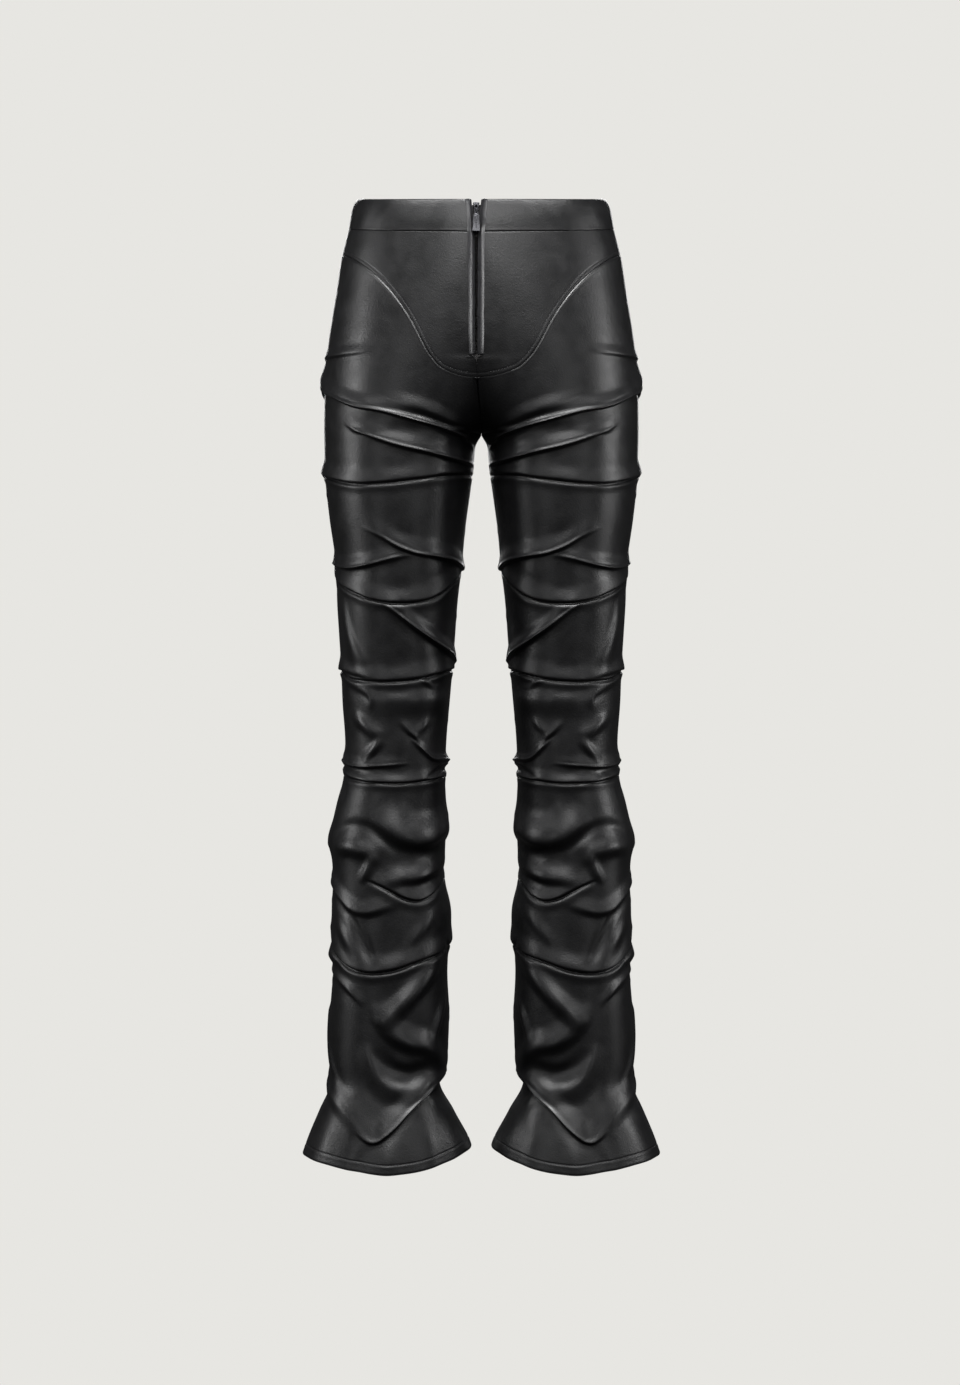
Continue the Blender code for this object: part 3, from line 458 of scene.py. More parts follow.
# name, kind, width above, width below, then (across, drop, height) along the line
creases = (
    ("hipCrease", "ridge", 10, 5, (0, 172, 2.5), (.05, 172, 2.8), (.28, 171, 2.2), (.39, 170, 1.2),
     (.47, 169, 0)),
    ("hipSwell", "swell", 14, 8, (.47, 221, 0), (.57, 225, 1.2), (.66, 230, 2.1), (.73, 236, 2.4),
     (.79, 245, 1.6), (.84, 256, 0)),
    ("hipValley", "groove", 6, 5, (.64, 234, 0), (.71, 240, 1), (.78, 249, 1.4), (.84, 259, 0)),
    ("hipBulge", "swell", 24, 10, (0, 192, 3.5), (.06, 198, 3), (.16, 206, 0)),
    ("hipFold", "ridge", 15, 5, (0, 199, 3.5), (.06, 206, 5), (.22, 216, 5), (.4, 229, 4.4), (.5, 233, 3.6),
     (.58, 238, 2), (.66, 244, 0)),
    ("hipCrest", "ridge", 6, 5, (.44, 231, 0), (.52, 235, 1), (.6, 240.5, 2.4), (.67, 246, 3.6),
     (.73, 252, 4.2), (.79, 260, 3.6), (.86, 267, 1.6), (.95, 272, 0)),
    ("crotchDrag", "ridge", 15, 5, (.29, 247, 0), (.35, 256, 2.5), (.48, 269, 4.2), (.61, 277, 4.8),
     (.75, 284, 4.5), (.92, 288, 1.5), (1, 289, 0)),
    ("thighCrease", "rim", 6, 2.6, (0, 299, 7.5), (.16, 306, 5.5), (.3, 312, 4.2), (.45, 312, 4),
     (.58, 308, 4), (.72, 303, 3.5), (1, 300, 1)),
    ("thighDrag", "ridge", 18, 5, (.34, 358, 0), (.43, 368, 2), (.5, 378, 3.5), (.58, 385, 4.5),
     (.68, 388, 5), (.83, 393, 4.5), (.95, 400, 3), (1, 403, 1)),
    ("thighPocket", "ridge", 13, 5, (0, 393, 3), (.1, 397, 4), (.27, 400, 4.6), (.39, 396, 4),
     (.48, 391, 2.4), (.56, 388, 0)),
    ("thighHammock", "rim", 6, 2.6, (0, 406, 4), (.06, 412, 5), (.13, 418, 5), (.27, 429, 5), (.39, 437, 5),
     (.5, 440, 5), (.61, 439, 5), (.7, 434, 5.5), (.79, 424, 5.5), (.89, 412, 4), (1, 403, 2)),
    ("innerDrag", "ridge", 15, 6, (.42, 436, 0), (.5, 449, 3.4), (.62, 468, 5.6), (.75, 483, 6),
     (.9, 494, 4.4), (1, 501, 2)),
    ("outerBand", "swell", 9, 20, (.16, 428, 0), (.18, 445, 1.6), (.21, 470, 2.4), (.27, 495, 2),
     (.33, 510, 0)),
    ("kneeTop", "rim", 6, 2.6, (0, 512, 5.5), (.08, 513, 5.5), (.19, 520, 5), (.39, 524, 4.5),
     (.56, 523, 4.5), (.71, 518, 5), (.84, 513, 5), (1, 511, 4)),
    ("kneeTuck", "groove", 4, 4, (.01, 508, 0), (.1, 512, 2), (.25, 518, 2.6), (.4, 522, 0)),
    ("kneeArc", "swell", 4, 3, (.62, 521, 0), (.67, 524, 1.5), (.745, 530, 1.5), (.82, 527, 0)),
    ("knee", "swell", 12, 22, (.26, 543, 0), (.42, 544, 1.8), (.6, 543, 3), (.76, 541, 3.2), (.92, 539, 0)),
    ("kneeOuter", "ridge", 8, 5, (.18, 524, 0), (.27, 531, 1.6), (.36, 540, 2.4), (.36, 546, 1.2),
     (.31, 550, 0)),
    ("kneeCrossA", "swell", 9, 12, (.2, 558, 0), (.3, 568, 3), (.38, 577, 3), (.45, 583, 0)),
    ("kneeCrossB", "swell", 7, 8, (.44, 584, 0), (.4, 591, 2.6), (.34, 602, 2.4), (.29, 609, 0)),
    ("kneeCrossC", "ridge", 6, 5, (.52, 566, 0), (.57, 574, 2), (.62, 582, 2.2), (.64, 586, 0)),
    ("kneeCrossD", "swell", 6, 5, (.61, 582, 0), (.66, 574, 2.2), (.73, 562, 0)),
    ("kneeCrossE", "ridge", 7, 5, (.6, 585, 0), (.66, 594, 2), (.75, 605, 2.4), (.88, 606, 3), (1, 606, 4)),
    ("bandLeft", "ridge", 11, 5, (0, 607, 4.5), (.12, 611, 4), (.3, 614, 3.5), (.45, 613, 2.4),
     (.6, 611, 0)),
    ("bandLow", "ridge", 6, 4, (0, 617, 2), (.15, 622, 2.4), (.3, 627, 2), (.42, 631, 0)),
    ("bandSide", "swell", 10, 6, (.76, 612, 0), (.88, 612, 2.5), (1, 612, 4)),
    ("bandPocket", "groove", 5, 5, (.68, 626, 0), (.79, 621, 2.4), (.92, 617, 2.6), (1, 616, 2)),
    ("bandSlant", "ridge", 4, 3, (.64, 628, 0), (.75, 621, 1.6), (.86, 615, 1.4), (.95, 610, 0)),
    ("calfLedge", "rim", 4, 2.5, (0, 623, 2.5), (.24, 630, 3.5), (.38, 632, 4), (.53, 633, 4.2),
     (.72, 630, 4.2), (.94, 626, 3.5), (1, 625, 2.5)),
    ("calfDimple", "groove", 10, 8, (.03, 632, .4), (.09, 636, 1.8), (.13, 643, 1.6), (.11, 651, 0)),
    ("calfKnob", "swell", 31, 16, (.42, 664, 0), (.5, 678, 6), (.6, 690, 10), (.72, 691, 10.5),
     (.85, 684, 7), (1, 678, 3)),
    ("calfSide", "swell", 24, 22, (0, 694, 3), (.06, 695, 1.4), (.13, 697, 0)),
    ("calfSwell", "swell", 15, 14, (.1, 702, 0), (.21, 701, 3.8), (.31, 702, 5.6), (.4, 706, 3.8),
     (.48, 712, 0)),
    ("calfArc", "groove", 10, 9, (.12, 687, 0), (.24, 680, 2), (.36, 680, 2.6), (.44, 686, 2.6),
     (.52, 698, 1.6), (.56, 707, 0)),
    ("calfHook", "swell", 8, 9, (.45, 708, 0), (.42, 717, 3), (.39, 728, 3.4), (.34, 741, 0)),
    ("calfBump", "swell", 18, 10, (.48, 736, 0), (.57, 735, 4.4), (.68, 732, 6.8), (.8, 725, 6),
     (.92, 716, 3.4), (1, 712, 1)),
    ("calfDrag", "rim", 6, 3, (.38, 737, 0), (.43, 741, 2.6), (.5, 748, 4), (.58, 757, 5), (.66, 760, 5),
     (.74, 755, 5), (.86, 742, 4.5), (1, 734, 2.5)),
    ("shinDrape", "ridge", 14, 7, (0, 739, 2.6), (.08, 744, 3.4), (.18, 755, 4), (.27, 767, 4.4),
     (.36, 771, 4), (.46, 767, 2.4), (.55, 761, 0)),
    ("shinSlant", "groove", 9, 9, (.04, 742, 0), (.13, 757, 1.5), (.25, 775, 2), (.33, 797, 2.6),
     (.39, 820, 2), (.42, 832, 0)),
    ("shinSoft", "swell", 10, 12, (.13, 777, 0), (.2, 793, 2.4), (.29, 812, 2.4), (.38, 828, 0)),
    ("shinFine", "swell", 9, 9, (.56, 816, 0), (.66, 793, 2), (.78, 770, 0)),
    ("shinHammock", "rim", 7, 3, (0, 797, 3), (.07, 810, 4.5), (.16, 822, 5.5), (.26, 832, 6), (.4, 837, 6),
     (.52, 834, 6), (.65, 826, 6), (.78, 819, 5.5), (.9, 812, 5), (1, 806, 4.5)),
    ("shinSide", "swell", 16, 10, (0, 818, 5.5), (.07, 822, 4), (.15, 828, 0)),
    ("shinPocket", "groove", 6, 6, (.88, 806, 2), (.97, 820, 1)),
    ("shinOuter", "ridge", 9, 5, (0, 835, 1.5), (.08, 838, 2.6), (.2, 848, 3), (.3, 861, 2.4),
     (.36, 872, 0)),
    ("shinInner", "swell", 15, 15, (.86, 818, 0), (.76, 834, 3.6), (.66, 852, 5.2), (.56, 871, 5.8),
     (.5, 884, 4.6), (.47, 896, 0)),
    ("shinHook", "swell", 22, 11, (.43, 868, 0), (.45, 884, 3), (.51, 900, 5), (.6, 911, 6),
     (.72, 917, 5.5), (.81, 928, 3.5), (.87, 944, 0)),
    ("shinRidge", "swell", 7, 9, (.93, 855, 0), (.85, 875, 2.4), (.79, 900, 2.4), (.77, 914, 0)),
    ("outerRidge", "swell", 10, 18, (0, 880, 2), (.02, 905, 2.4), (.1, 936, 2.4), (.2, 964, 1.4),
     (.28, 980, 0)),
    ("anklePit", "groove", 12, 9, (.44, 918, 0), (.52, 937, 3), (.62, 944, 4), (.73, 941, 3.4),
     (.84, 938, 2), (.92, 936, 0)),
    ("ankleLip", "swell", 8, 20, (.37, 912, 0), (.42, 932, 3), (.48, 950, 4.4), (.56, 959, 5),
     (.64, 960, 5), (.75, 955, 4.4), (.86, 949, 3), (.95, 940, 0)),
    ("ankleLobe", "ridge", 17, 16, (0, 953, 5), (.05, 960, 4.6), (.14, 966, 3.6), (.25, 978, 2.8),
     (.32, 990, 2.2), (.37, 1002, 1.2), (.41, 1013, 0)),
    ("ankleTurn", "ridge", 26, 4.5, (.36, 1003, 0), (.4, 1012, 1.8), (.43, 1016, 3.6), (.46, 1015, 5),
     (.49, 1010, 6), (.54, 1000, 6.5), (.62, 983, 7), (.73, 967, 7), (.88, 949, 6), (1, 944, 4)),
    ("flareOuter", "swell", 24, 24, (.22, 985, 0), (.2, 1010, 1), (.18, 1045, 0.8)),
    ("flareGroove", "groove", 16, 16, (.41, 1020, 0), (.4, 1035, 1.6), (.39, 1050, 1.4)),
    ("flareMiddle", "swell", 16, 16, (.52, 1012, 0), (.51, 1030, 1.4), (.5, 1055, 1.2)),
    ("flareInner", "groove", 16, 16, (.78, 985, 0), (.76, 1010, 1.6), (.74, 1045, 1.2)),
    ("flarePucker", "swell", 6, 6, (.75, 964, 0), (.79, 972, 2), (.83, 979, 0)),
)

gathers = {
    "seed": 11,
    "count": 22,
    "top": 285,
    "length": 690,
    "sideShare": 0.62,  # how many lie at the side seam
    "reach": (0.05, 0.15),
    "height": (0.4, 0.9),
    "width": (3.5, 6),
    "slant": (-12, 14),
}


def seamGathers():
    # small uneven gathers where the leg panels are drawn into the side and inner seams
    draw = random.Random(gathers["seed"])
    found = []
    for k in range(gathers["count"]):
        drop = gathers["top"] + gathers["length"] * (k + draw.random()) / gathers["count"]
        side = draw.random() < gathers["sideShare"]
        reach = draw.uniform(*gathers["reach"])
        ends = (0.0, reach) if side else (1.0 - reach * 0.8, 1.0)
        height = draw.uniform(*gathers["height"])
        width = draw.uniform(*gathers["width"])
        slant = draw.uniform(*gathers["slant"])
        inner, outer = (height, 0) if side else (0, height)
        found.append((f"gather{k}", "ridge", width, width * 0.6, (ends[0], drop, inner),
                      (sum(ends) / 2, drop + slant / 2, height * 0.8), (ends[1], drop + slant, outer)))
    return tuple(found)


def alongCurve(points, count):
    # evenly spaced points on a smooth curve through a crease's own
    points = np.array(points, float)
    legs = np.diff(points[:, :2], axis=0) * (180, 1)
    run = np.concatenate([[0], np.cumsum(np.hypot(legs[:, 0], legs[:, 1]))])
    wanted = np.linspace(0, run[-1], count)
    return np.stack([smooth(run, points[:, k], wanted) for k in range(3)], axis=-1)


def easedProfile(kind, x):
    # a profile's height, with its corners eased
    xs, ys = (np.array(values, float) for values in profiles[kind])
    i = np.clip(np.searchsorted(xs, x) - 1, 0, len(xs) - 2)
    t = np.clip((x - xs[i]) / (xs[i + 1] - xs[i]), 0, 1)
    return ys[i] + (ys[i + 1] - ys[i]) * (3 - 2 * t) * t * t


def addCrease(height, face, run, drop, crease):
    # adds one crease to the height field, from the nearest point of its line
    _name, kind, above, below, *points = crease
    path = alongCurve(points, 7 * len(points))
    pathRun = path[:, 0] * runAt(face, path[:, 1])
    xs = profiles[kind][0]
    reach = max(-xs[0] * above, xs[-1] * below)
    near = (run > pathRun.min() - reach) & (run < pathRun.max() + reach)
    near &= (drop > path[:, 1].min() - reach) & (drop < path[:, 1].max() + reach)
    if not near.any():
        return
    x, y = run[near], drop[near]
    best = np.full(x.shape, 1e12)
    signed = np.zeros(x.shape)
    out = np.zeros(x.shape)
    for k in range(len(path) - 1):
        ax, ay = pathRun[k], path[k, 1]
        dx, dy = pathRun[k + 1] - ax, path[k + 1, 1] - ay
        t = np.clip(((x - ax) * dx + (y - ay) * dy) / (dx * dx + dy * dy), 0, 1)
        offX, offY = x - ax - t * dx, y - ay - t * dy
        distance = offX * offX + offY * offY
        closer = distance < best
        best = np.where(closer, distance, best)
        side = np.sign(dx * (y - ay) - dy * (x - ax))
        signed = np.where(closer, side * np.sqrt(distance), signed)
        out = np.where(closer, path[k, 2] * (1 - t) + path[k + 1, 2] * t, out)
    height[near] += out * easedProfile(kind, signed / np.where(signed < 0, above, below))


allCreases = creases + seamGathers()
folds = {
    "highest": 11.0,
    "deepest": 5.0,
    "uneven": 0.12,
    "backShare": 0.9,
    "seatShare": 0.6,
    "seatEnd": (300, 60),  # the seat's smoother leather ends at this drop, over this far
    "backSway": (0.05, 12, 70),  # across, down, and the length of the sway
    "centreHeld": (0.84, 24),  # from this place across, and down to this far below the crotch
}


def creaseHeight(face, across, drop):
    # how far the creases lift the leather off the plain form
    if face == "back":
        # the back has the front's creases, moved a little so that they aren't its print
        sideways, down, wave = folds["backSway"]
        swing = np.sin(math.pi * across) * np.cos(drop / wave)
        across = across + sideways * np.sin(2 * math.pi * across)
        drop = drop + down * swing
    run = across * runAt(face, drop)
    height = np.zeros(np.shape(drop))
    for crease in allCreases:
        addCrease(height, face, run, drop, crease)
    height += folds["uneven"] * np.sin(run / 9 + drop / 31) * np.sin(drop / 13 - run / 23)
    height = filtered(height, 1, np.mean)
    if face == "back":
        end, reach = folds["seatEnd"]
        seat = fade(drop, end, -reach)
        middle = np.sin(math.pi * np.clip(across, 0, 1))
        height *= 1 - middle * (1 - folds["backShare"]) - middle * seat * (1 - folds["seatShare"])
    # the centre seam above the crotch is held flat
    start, reach = folds["centreHeld"]
    height *= 1 - fade(across, start, 0.16) * fade(drop, cut["crotchDrop"] + reach, -reach)
    limit = np.where(height > 0, folds["highest"], folds["deepest"])
    return height / (1 + (height / limit) ** 4) ** 0.25


def gridNormals(points, face):
    # directions square to a grid of points, outwards
    down = np.gradient(points, axis=0)
    along = np.gradient(points, axis=1)
    normal = np.cross(down, along) if face == "front" else np.cross(along, down)
    return normal / np.maximum(np.linalg.norm(normal, axis=-1, keepdims=True), 1e-9)


def coverPoints(face, across, drop, height, shift):
    # points on the outside of the leather, in millimetres, for the wearer's right half
    near = 0.004
    x0, y0 = formPoint(face, across - near, drop)
    x1, y1 = formPoint(face, across + near, drop)
    x, y = formPoint(face, across, drop)
    length = np.maximum(np.hypot(x1 - x0, y1 - y0), 1e-9)
    side = 1 if face == "front" else -1
    x = x + side * (y1 - y0) / length * height
    y = y - side * (x1 - x0) / length * height
    x = np.minimum(x, -cut["seamGap"] / 2)
    nearness = np.clip(1 + x / 70, 0, 1)
    x = x + shift * nearness * nearness * (3 - 2 * nearness)
    return np.stack([x, y, -drop - cut["sag"] * height], axis=-1)


def centreShift(drops, mirrored):
    # the sideways move of the centre edge round the open fly and down to the crotch
    opened = fade(drops, cut["flyEnd"] + cut["flyClosing"], -cut["flyClosing"])
    middle = smooth((cut["flyEnd"], *cut["centreDrops"]), (cut["flyX"], *cut["centreX"]), drops)
    shift = np.where(drops < cut["crotchDrop"], middle, 0)
    return (-shift if mirrored else shift) - opened * cut["flyOpening"] / 2


def seatShift(drops, mirrored):
    # the back seam wanders a little near the crotch, as sewn seams do, so no light passes both seams
    top, foot = cut["seatDrops"]
    shift = cut["seatWander"] * fade(drops, foot, -8) * fade(drops, top, 30)
    return shift if mirrored else -shift


def yokeSeam(across):
    # the seam is drawn from the front, by x, so its drop at a place across is found by closing in
    drop = np.full(np.shape(across), 120.0)
    for _ in range(40):
        x, _y = formPoint("front", across, drop)
        drop = 0.5 * drop + 0.5 * smooth(cut["yokeX"], cut["yokeDrop"], -x)
    return drop


def line(name):
    # one of the cut's lines: its drop at a place across
    places = cut["hemPlaces" if name.endswith("Hem") else "places"]
    return lambda across: smooth(places, cut[name], across)


def spread(count, density):
    # count + 1 places from 0 to 1, closer together where the density is higher
    fine = np.linspace(0, 1, 2001)
    total = np.concatenate([[0], np.cumsum(density(fine[1:]))])
    return np.interp(np.linspace(0, 1, count + 1), total / total[-1], fine)


def edgeColumns(count):
    # columns closer together along both long seams
    width = 2.5 / 190
    return spread(count, lambda a: 1 + 4 * bumpAt(a, 0, width) + 4 * bumpAt(a, 1, width))


def rowDrops(top, bottom, count, crowds):
    # rows down each column, crowded round the given drops: (drop, spread, weight) each
    share = np.linspace(0, 1, 1600)[:, None]
    drops = top + (bottom - top) * share
    density = np.ones(drops.shape)
    for centre, width, weight in crowds:
        density += weight * bumpAt(drops, centre, width)
    total = np.cumsum(density, axis=0)
    total = (total - total[0]) / (total[-1] - total[0])
    wanted = np.linspace(0, 1, count + 1)
    return np.array([np.interp(wanted, total[:, j], drops[:, j]) for j in range(drops.shape[1])]).T


def fromLine(face, across, drop, line):
    # how far below a seam line each point is, measured square to the line
    step = 0.002
    rise = line(across + step) - line(across - step)
    run = 2 * step * runAt(face, drop)
    return (drop - line(across)) / np.hypot(1, rise / run)


def fromSides(face, across, drop):
    # how far in from the nearer of the two long seams
    return np.minimum(across, 1 - across) * runAt(face, drop)


# Walls of leather. The left half is the wearer's right one mirrored.

sides = (("Right", False), ("Left", True))


def leatherWall(name, outside, inside, mirrored, step):
    # a closed wall: a fine outer face, and an inner face with one row in every few
    rows, columns = outside.shape[:2]
    bm = bmesh.new()
    bmesh.ops.create_grid(bm, x_segments=(columns - 1) // step, y_segments=(rows - 1) // step, size=1)
    outer = bm.faces[:]
    grown = bmesh.ops.extrude_face_region(bm, geom=outer, use_keep_orig=True)
    for item in grown["geom"]:
        if isinstance(item, bmesh.types.BMFace):
            item.material_index = 1
        elif isinstance(item, bmesh.types.BMVert):
            item.co.z = -1  # marks the inner face's points
    if step > 1:
        edges = list({edge for face in outer for edge in face.edges})
        bmesh.ops.subdivide_edges(bm, edges=edges, cuts=step - 1, use_grid_fill=True)
    flip = -mm if mirrored else mm
    for vert in bm.verts:
        i = round((vert.co.y + 1) / 2 * (rows - 1))
        j = round((vert.co.x + 1) / 2 * (columns - 1))
        x, y, z = (inside if vert.co.z < -0.5 else outside)[i, j]
        vert.co = (x * flip, y * mm, z * mm)
    return finishPiece(name, bm, leather, suede)


def finishPiece(name, bm, *materials, sharp=70):
    # turns the faces outwards, smooths all but the sharp edges and gives the piece its materials
    bmesh.ops.recalc_face_normals(bm, faces=bm.faces)
    if bm.calc_volume(signed=True) < 0:
        bmesh.ops.reverse_faces(bm, faces=bm.faces)
    mesh = bpy.data.meshes.new(name)
    bm.to_mesh(mesh)
    bm.free()
    mesh.shade_smooth()
    mesh.set_sharp_from_angle(angle=math.radians(sharp))
    for material in materials:
        mesh.materials.append(material)
    piece = bpy.data.objects.new(name, mesh)
    bpy.context.scene.collection.objects.link(piece)
    return piece


def sheetOf(piece, node):
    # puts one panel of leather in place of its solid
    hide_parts(node)
    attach(piece, "trousers")


def insetColumns(face, across, drop):
    # the edge columns stand back from the seams by half the gap
    half = cut["seamGap"] / 2 / runAt(face, drop)
    return np.clip(across, half, 1 - half)


def filtered(height, cells, combine):
    # a height field with each point combined with its neighbours, first along rows, then along columns
    for axis in (0, 1):
        padded = np.pad(height, [(cells, cells) if k == axis else (0, 0) for k in (0, 1)], mode="edge")
        count = height.shape[axis]
        shifted = [np.take(padded, range(k, k + count), axis=axis) for k in range(2 * cells + 1)]
        height = combine(np.array(shifted), axis=0)
    return height


def underside(height, cells):
    # the flesh side spans the hollows under the creases, always below the outer face
    return filtered(filtered(height, 2 * cells, np.min), cells, np.mean)


legSizes = {
    "front": {"columns": 124, "rows": (112, 560), "flat": (0.235, 1.1), "cutShare": 0.79},
    "back": {"columns": 104, "rows": (100, 440), "flat": (0.24, 1.18), "cutShare": 0.81},
    "thickness": 1.4,
    "hemThickness": 2.4,
    "hemTurn": 11.0,
    "hemStep": 1.5,
    "seamDip": 0.5,
    "seamRoll": 0.32,
    "sideDip": 0.35,
    "sideRoll": 0.15,
    "stitchDip": 0.45,
    "hemRoll": 0.14,
    "edgeRound": 0.7,
    "centreRidge": 1.3,
    "puckers": ((2.2, 194.5), (1.8, 199.5)),  # height and drop of each
}
crispFolds = ("hipFold", "hipCrest", "crotchDrag", "thighCrease", "thighDrag", "thighPocket", "thighHammock",
              "innerDrag", "kneeTop", "bandLeft", "kneeCrossE", "calfLedge", "calfDrag", "shinHammock",
              "ankleTurn")


def panelWall(name, face, panel, thickness, shift, mirrored, step):
    # a panel's wall; a coarser inner face needs its hollows spanned more widely
    across, drops, height = panel
    outside = coverPoints(face, across, drops, height, shift)
    inside = coverPoints(face, across, drops, underside(height, step) - thickness, shift)
    return leatherWall(name, outside, inside, mirrored, step)


def foldCrowds(columns):
    # rows gather round the folds with a tight crest
    found = []
    for name, _kind, _above, _below, *points in creases:
        if name in crispFolds:
            places, drops, _heights = np.array(points, float).T
            inside = np.clip((columns - places[0] + 0.12) / 0.12, 0, 1)
            inside = inside * np.clip((places[-1] + 0.12 - columns) / 0.12, 0, 1)
            inside = inside * inside * (3 - 2 * inside)
            found.append((smooth(places, drops, columns), 5, 2.2 * inside))
    return tuple(found)


def legPanel(face):
    # places, drops and heights of a leg panel's grid and its thickness, the same for both legs
    front = face == "front"
    top = yokeSeam if front else line("backBandSeam")
    hem = line(f"{face}Hem")
    crotchLine = line(f"{face}CrotchLine")
    upper, lower = legSizes[face]["rows"]
    columns = edgeColumns(legSizes[face]["columns"])
    seam = top(columns) + cut["seamGap"]
    crotch = crotchLine(columns)
    bottom = hem(columns)
    atCrotch = (cut["crotchDrop"], 8, 3 * columns**6)
    drops = np.vstack([
        rowDrops(seam, crotch, upper, ((seam, 5, 3), atCrotch) + foldCrowds(columns)),
        rowDrops(crotch, bottom, lower,
                 (atCrotch, (bottom - legSizes["hemTurn"], 6, 2)) + foldCrowds(columns))[1:],
    ])
    across = insetColumns(face, np.broadcast_to(columns, drops.shape), drops)
    height = creaseHeight(face, across, drops)
    fromTop = fromLine(face, across, drops, top)
    fromSide = fromSides(face, across, drops)
    centre = (across > 0.5) * fade(drops, cut["crotchDrop"] + 30, -20)
    foot = 1 - 0.8 * fade(across, 0.7, 0.15) if front else 0 * across
    height -= legSizes["seamDip"] * (foot if front else 1) * bumpAt(fromTop, 0, 0.7)
    height -= legSizes["sideDip"] * bumpAt(fromSide, 0, 0.9) * (1 - centre)
    height += legSizes["seamRoll"] * foot * (bumpAt(fromTop, 1.6, 0.9) + 0.4 * bumpAt(fromTop, 4, 4))
    height += legSizes["sideRoll"] * bumpAt(fromSide, 2.6, 1.6) * (1 - centre)
    if front:
        # the centre seam below the fly stands up a little on both sides, with two small puckers
        toCentre = (1 - across) * runAt(face, drops)
        seamed = fade(drops, 182, 8) * fade(drops, 238, -16)
        height += seamed * (legSizes["centreRidge"] * bumpAt(toCentre, 2.0, 1.1)
                            - 0.3 * bumpAt(toCentre, 0, 0.7))
        puckered = sum(high * bumpAt(drops, drop, 1.4) for high, drop in legSizes["puckers"])
        height += puckered * bumpAt(toCentre, 1.6, 1.8)
    turn = legSizes["hemTurn"]
    toHem = hem(across) - drops
    height -= legSizes["stitchDip"] * bumpAt(toHem, turn, 0.9)
    height += legSizes["hemRoll"] * bumpAt(toHem, turn - 2.2, 1.5)
    height -= legSizes["edgeRound"] * bumpAt(toHem, 0, 0.7)
    doubled = fade(toHem, turn + legSizes["hemStep"], -legSizes["hemStep"])
    thickness = legSizes["thickness"] + (legSizes["hemThickness"] - legSizes["thickness"]) * doubled
    return (across, drops, height), thickness


stitch = {"pitch": 3.1, "length": 2.5, "width": 0.55, "height": 0.4, "seamUp": 4.2, "pathPoints": 400}


def stitchesOn(piece, name, points):
    # one thread stitch for each pitch along a path, lying on the piece's face
    run = np.concatenate([[0], np.cumsum(np.linalg.norm(np.diff(points, axis=0), axis=1))])
    count = int(run[-1] // stitch["pitch"])
    places = np.linspace(stitch["pitch"] / 2, run[-1] - stitch["pitch"] / 2, count)
    bm = bmesh.new()
    for place in places:
        ends = [Vector([np.interp(place + d, run, points[:, k]) for k in range(3)]) * mm for d in (-1, 1)]
        _found, spot, normal, _index = piece.closest_point_on_mesh((ends[0] + ends[1]) / 2)
        along = (ends[1] - ends[0]).normalized()
        across = normal.cross(along).normalized()
        turned = Matrix((along, across, across.cross(along) * -1)).transposed().to_4x4()
        sized = Matrix.Diagonal([stitch[key] / 2 * mm for key in ("length", "width", "height")] + [1])
        bmesh.ops.create_icosphere(bm, subdivisions=1, radius=1,
                                   matrix=Matrix.Translation(spot) @ turned @ sized)
    stitches = finishPiece(name, bm, thread)
    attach(stitches, "trousers")
    return stitches


def pathOn(face, line, offset, mirrored, ends=(0.004, 0.996)):
    # a path along a seam line or hem, this far above it, just off the plain form
    across = np.linspace(*ends, stitch["pathPoints"])
    step = 0.002
    slope = (line(across + step) - line(across - step)) / (2 * step) / runAt(face, line(across))
    drops = line(across) - offset * np.hypot(1, slope)
    shift = centreShift(drops, mirrored) if face == "front" else 0
    points = coverPoints(face, across, drops, 0.5, shift)
    return points * (-1, 1, 1) if mirrored else points


for face in ("front", "back"):
    panel, thickness = legPanel(face)
    for side, mirrored in sides:
        shift = (centreShift if face == "front" else seatShift)(panel[1], mirrored)
        leg = panelWall(f"{face}Leg{side}", face, panel, thickness, shift, mirrored, 4)
        hemPath = pathOn(face, line(f"{face}Hem"), legSizes["hemTurn"], mirrored)
        sewn = stitchesOn(leg, f"{face}HemStitches{side}", hemPath)
        sheetOf(leg, f"{face}_leg_{side.lower()}")
    print(face, "legs built", panel[1].shape)


yokeSizes = {
    "columns": 96,
    "rows": 72,
    "thickness": 1.4,
    "topDip": 0.05,
    "seamDip": 0.75,
    "stitchDip": 0.25,
    "flat": (0.2, 0.16),
    "areas": {"Right": 0.015, "Left": 0.0165},
}


def yokePanel():
    # places, drops and heights of the front yoke's grid, the same for both sides
    columns = edgeColumns(yokeSizes["columns"])
    top = line("frontBandSeam")
    upper = top(columns) + cut["seamGap"]
    bottom = yokeSeam(columns)
    drops = rowDrops(upper, bottom, yokeSizes["rows"], ((upper, 3, 4), (bottom, 5, 4)))
    across = insetColumns("front", np.broadcast_to(columns, drops.shape), drops)
    fromTop = fromLine("front", across, drops, top)
    toSeam = -fromLine("front", across, drops, yokeSeam)
    height = creaseHeight("front", across, drops) * fade(toSeam, 0, 12)
    foot = 1 - 0.8 * fade(across, 0.7, 0.15)
    height -= (yokeSizes["topDip"] * bumpAt(fromTop, 0, 0.6)
               + yokeSizes["seamDip"] * foot * bumpAt(toSeam, 0, 0.9))
    height -= yokeSizes["stitchDip"] * bumpAt(toSeam, stitch["seamUp"], 0.7)
    return across, drops, height


panel = yokePanel()
for side, mirrored in sides:
    shift = centreShift(panel[1], mirrored)
    yoke = panelWall(f"frontYoke{side}", "front", panel, yokeSizes["thickness"], shift, mirrored, 2)
    seamPath = pathOn("front", yokeSeam, stitch["seamUp"], mirrored, ends=(0.01, 0.955))
    sewn = stitchesOn(yoke, f"yokeStitches{side}", seamPath)
    sheetOf(yoke, f"front_yoke_{side.lower()}")
print("yokes built")


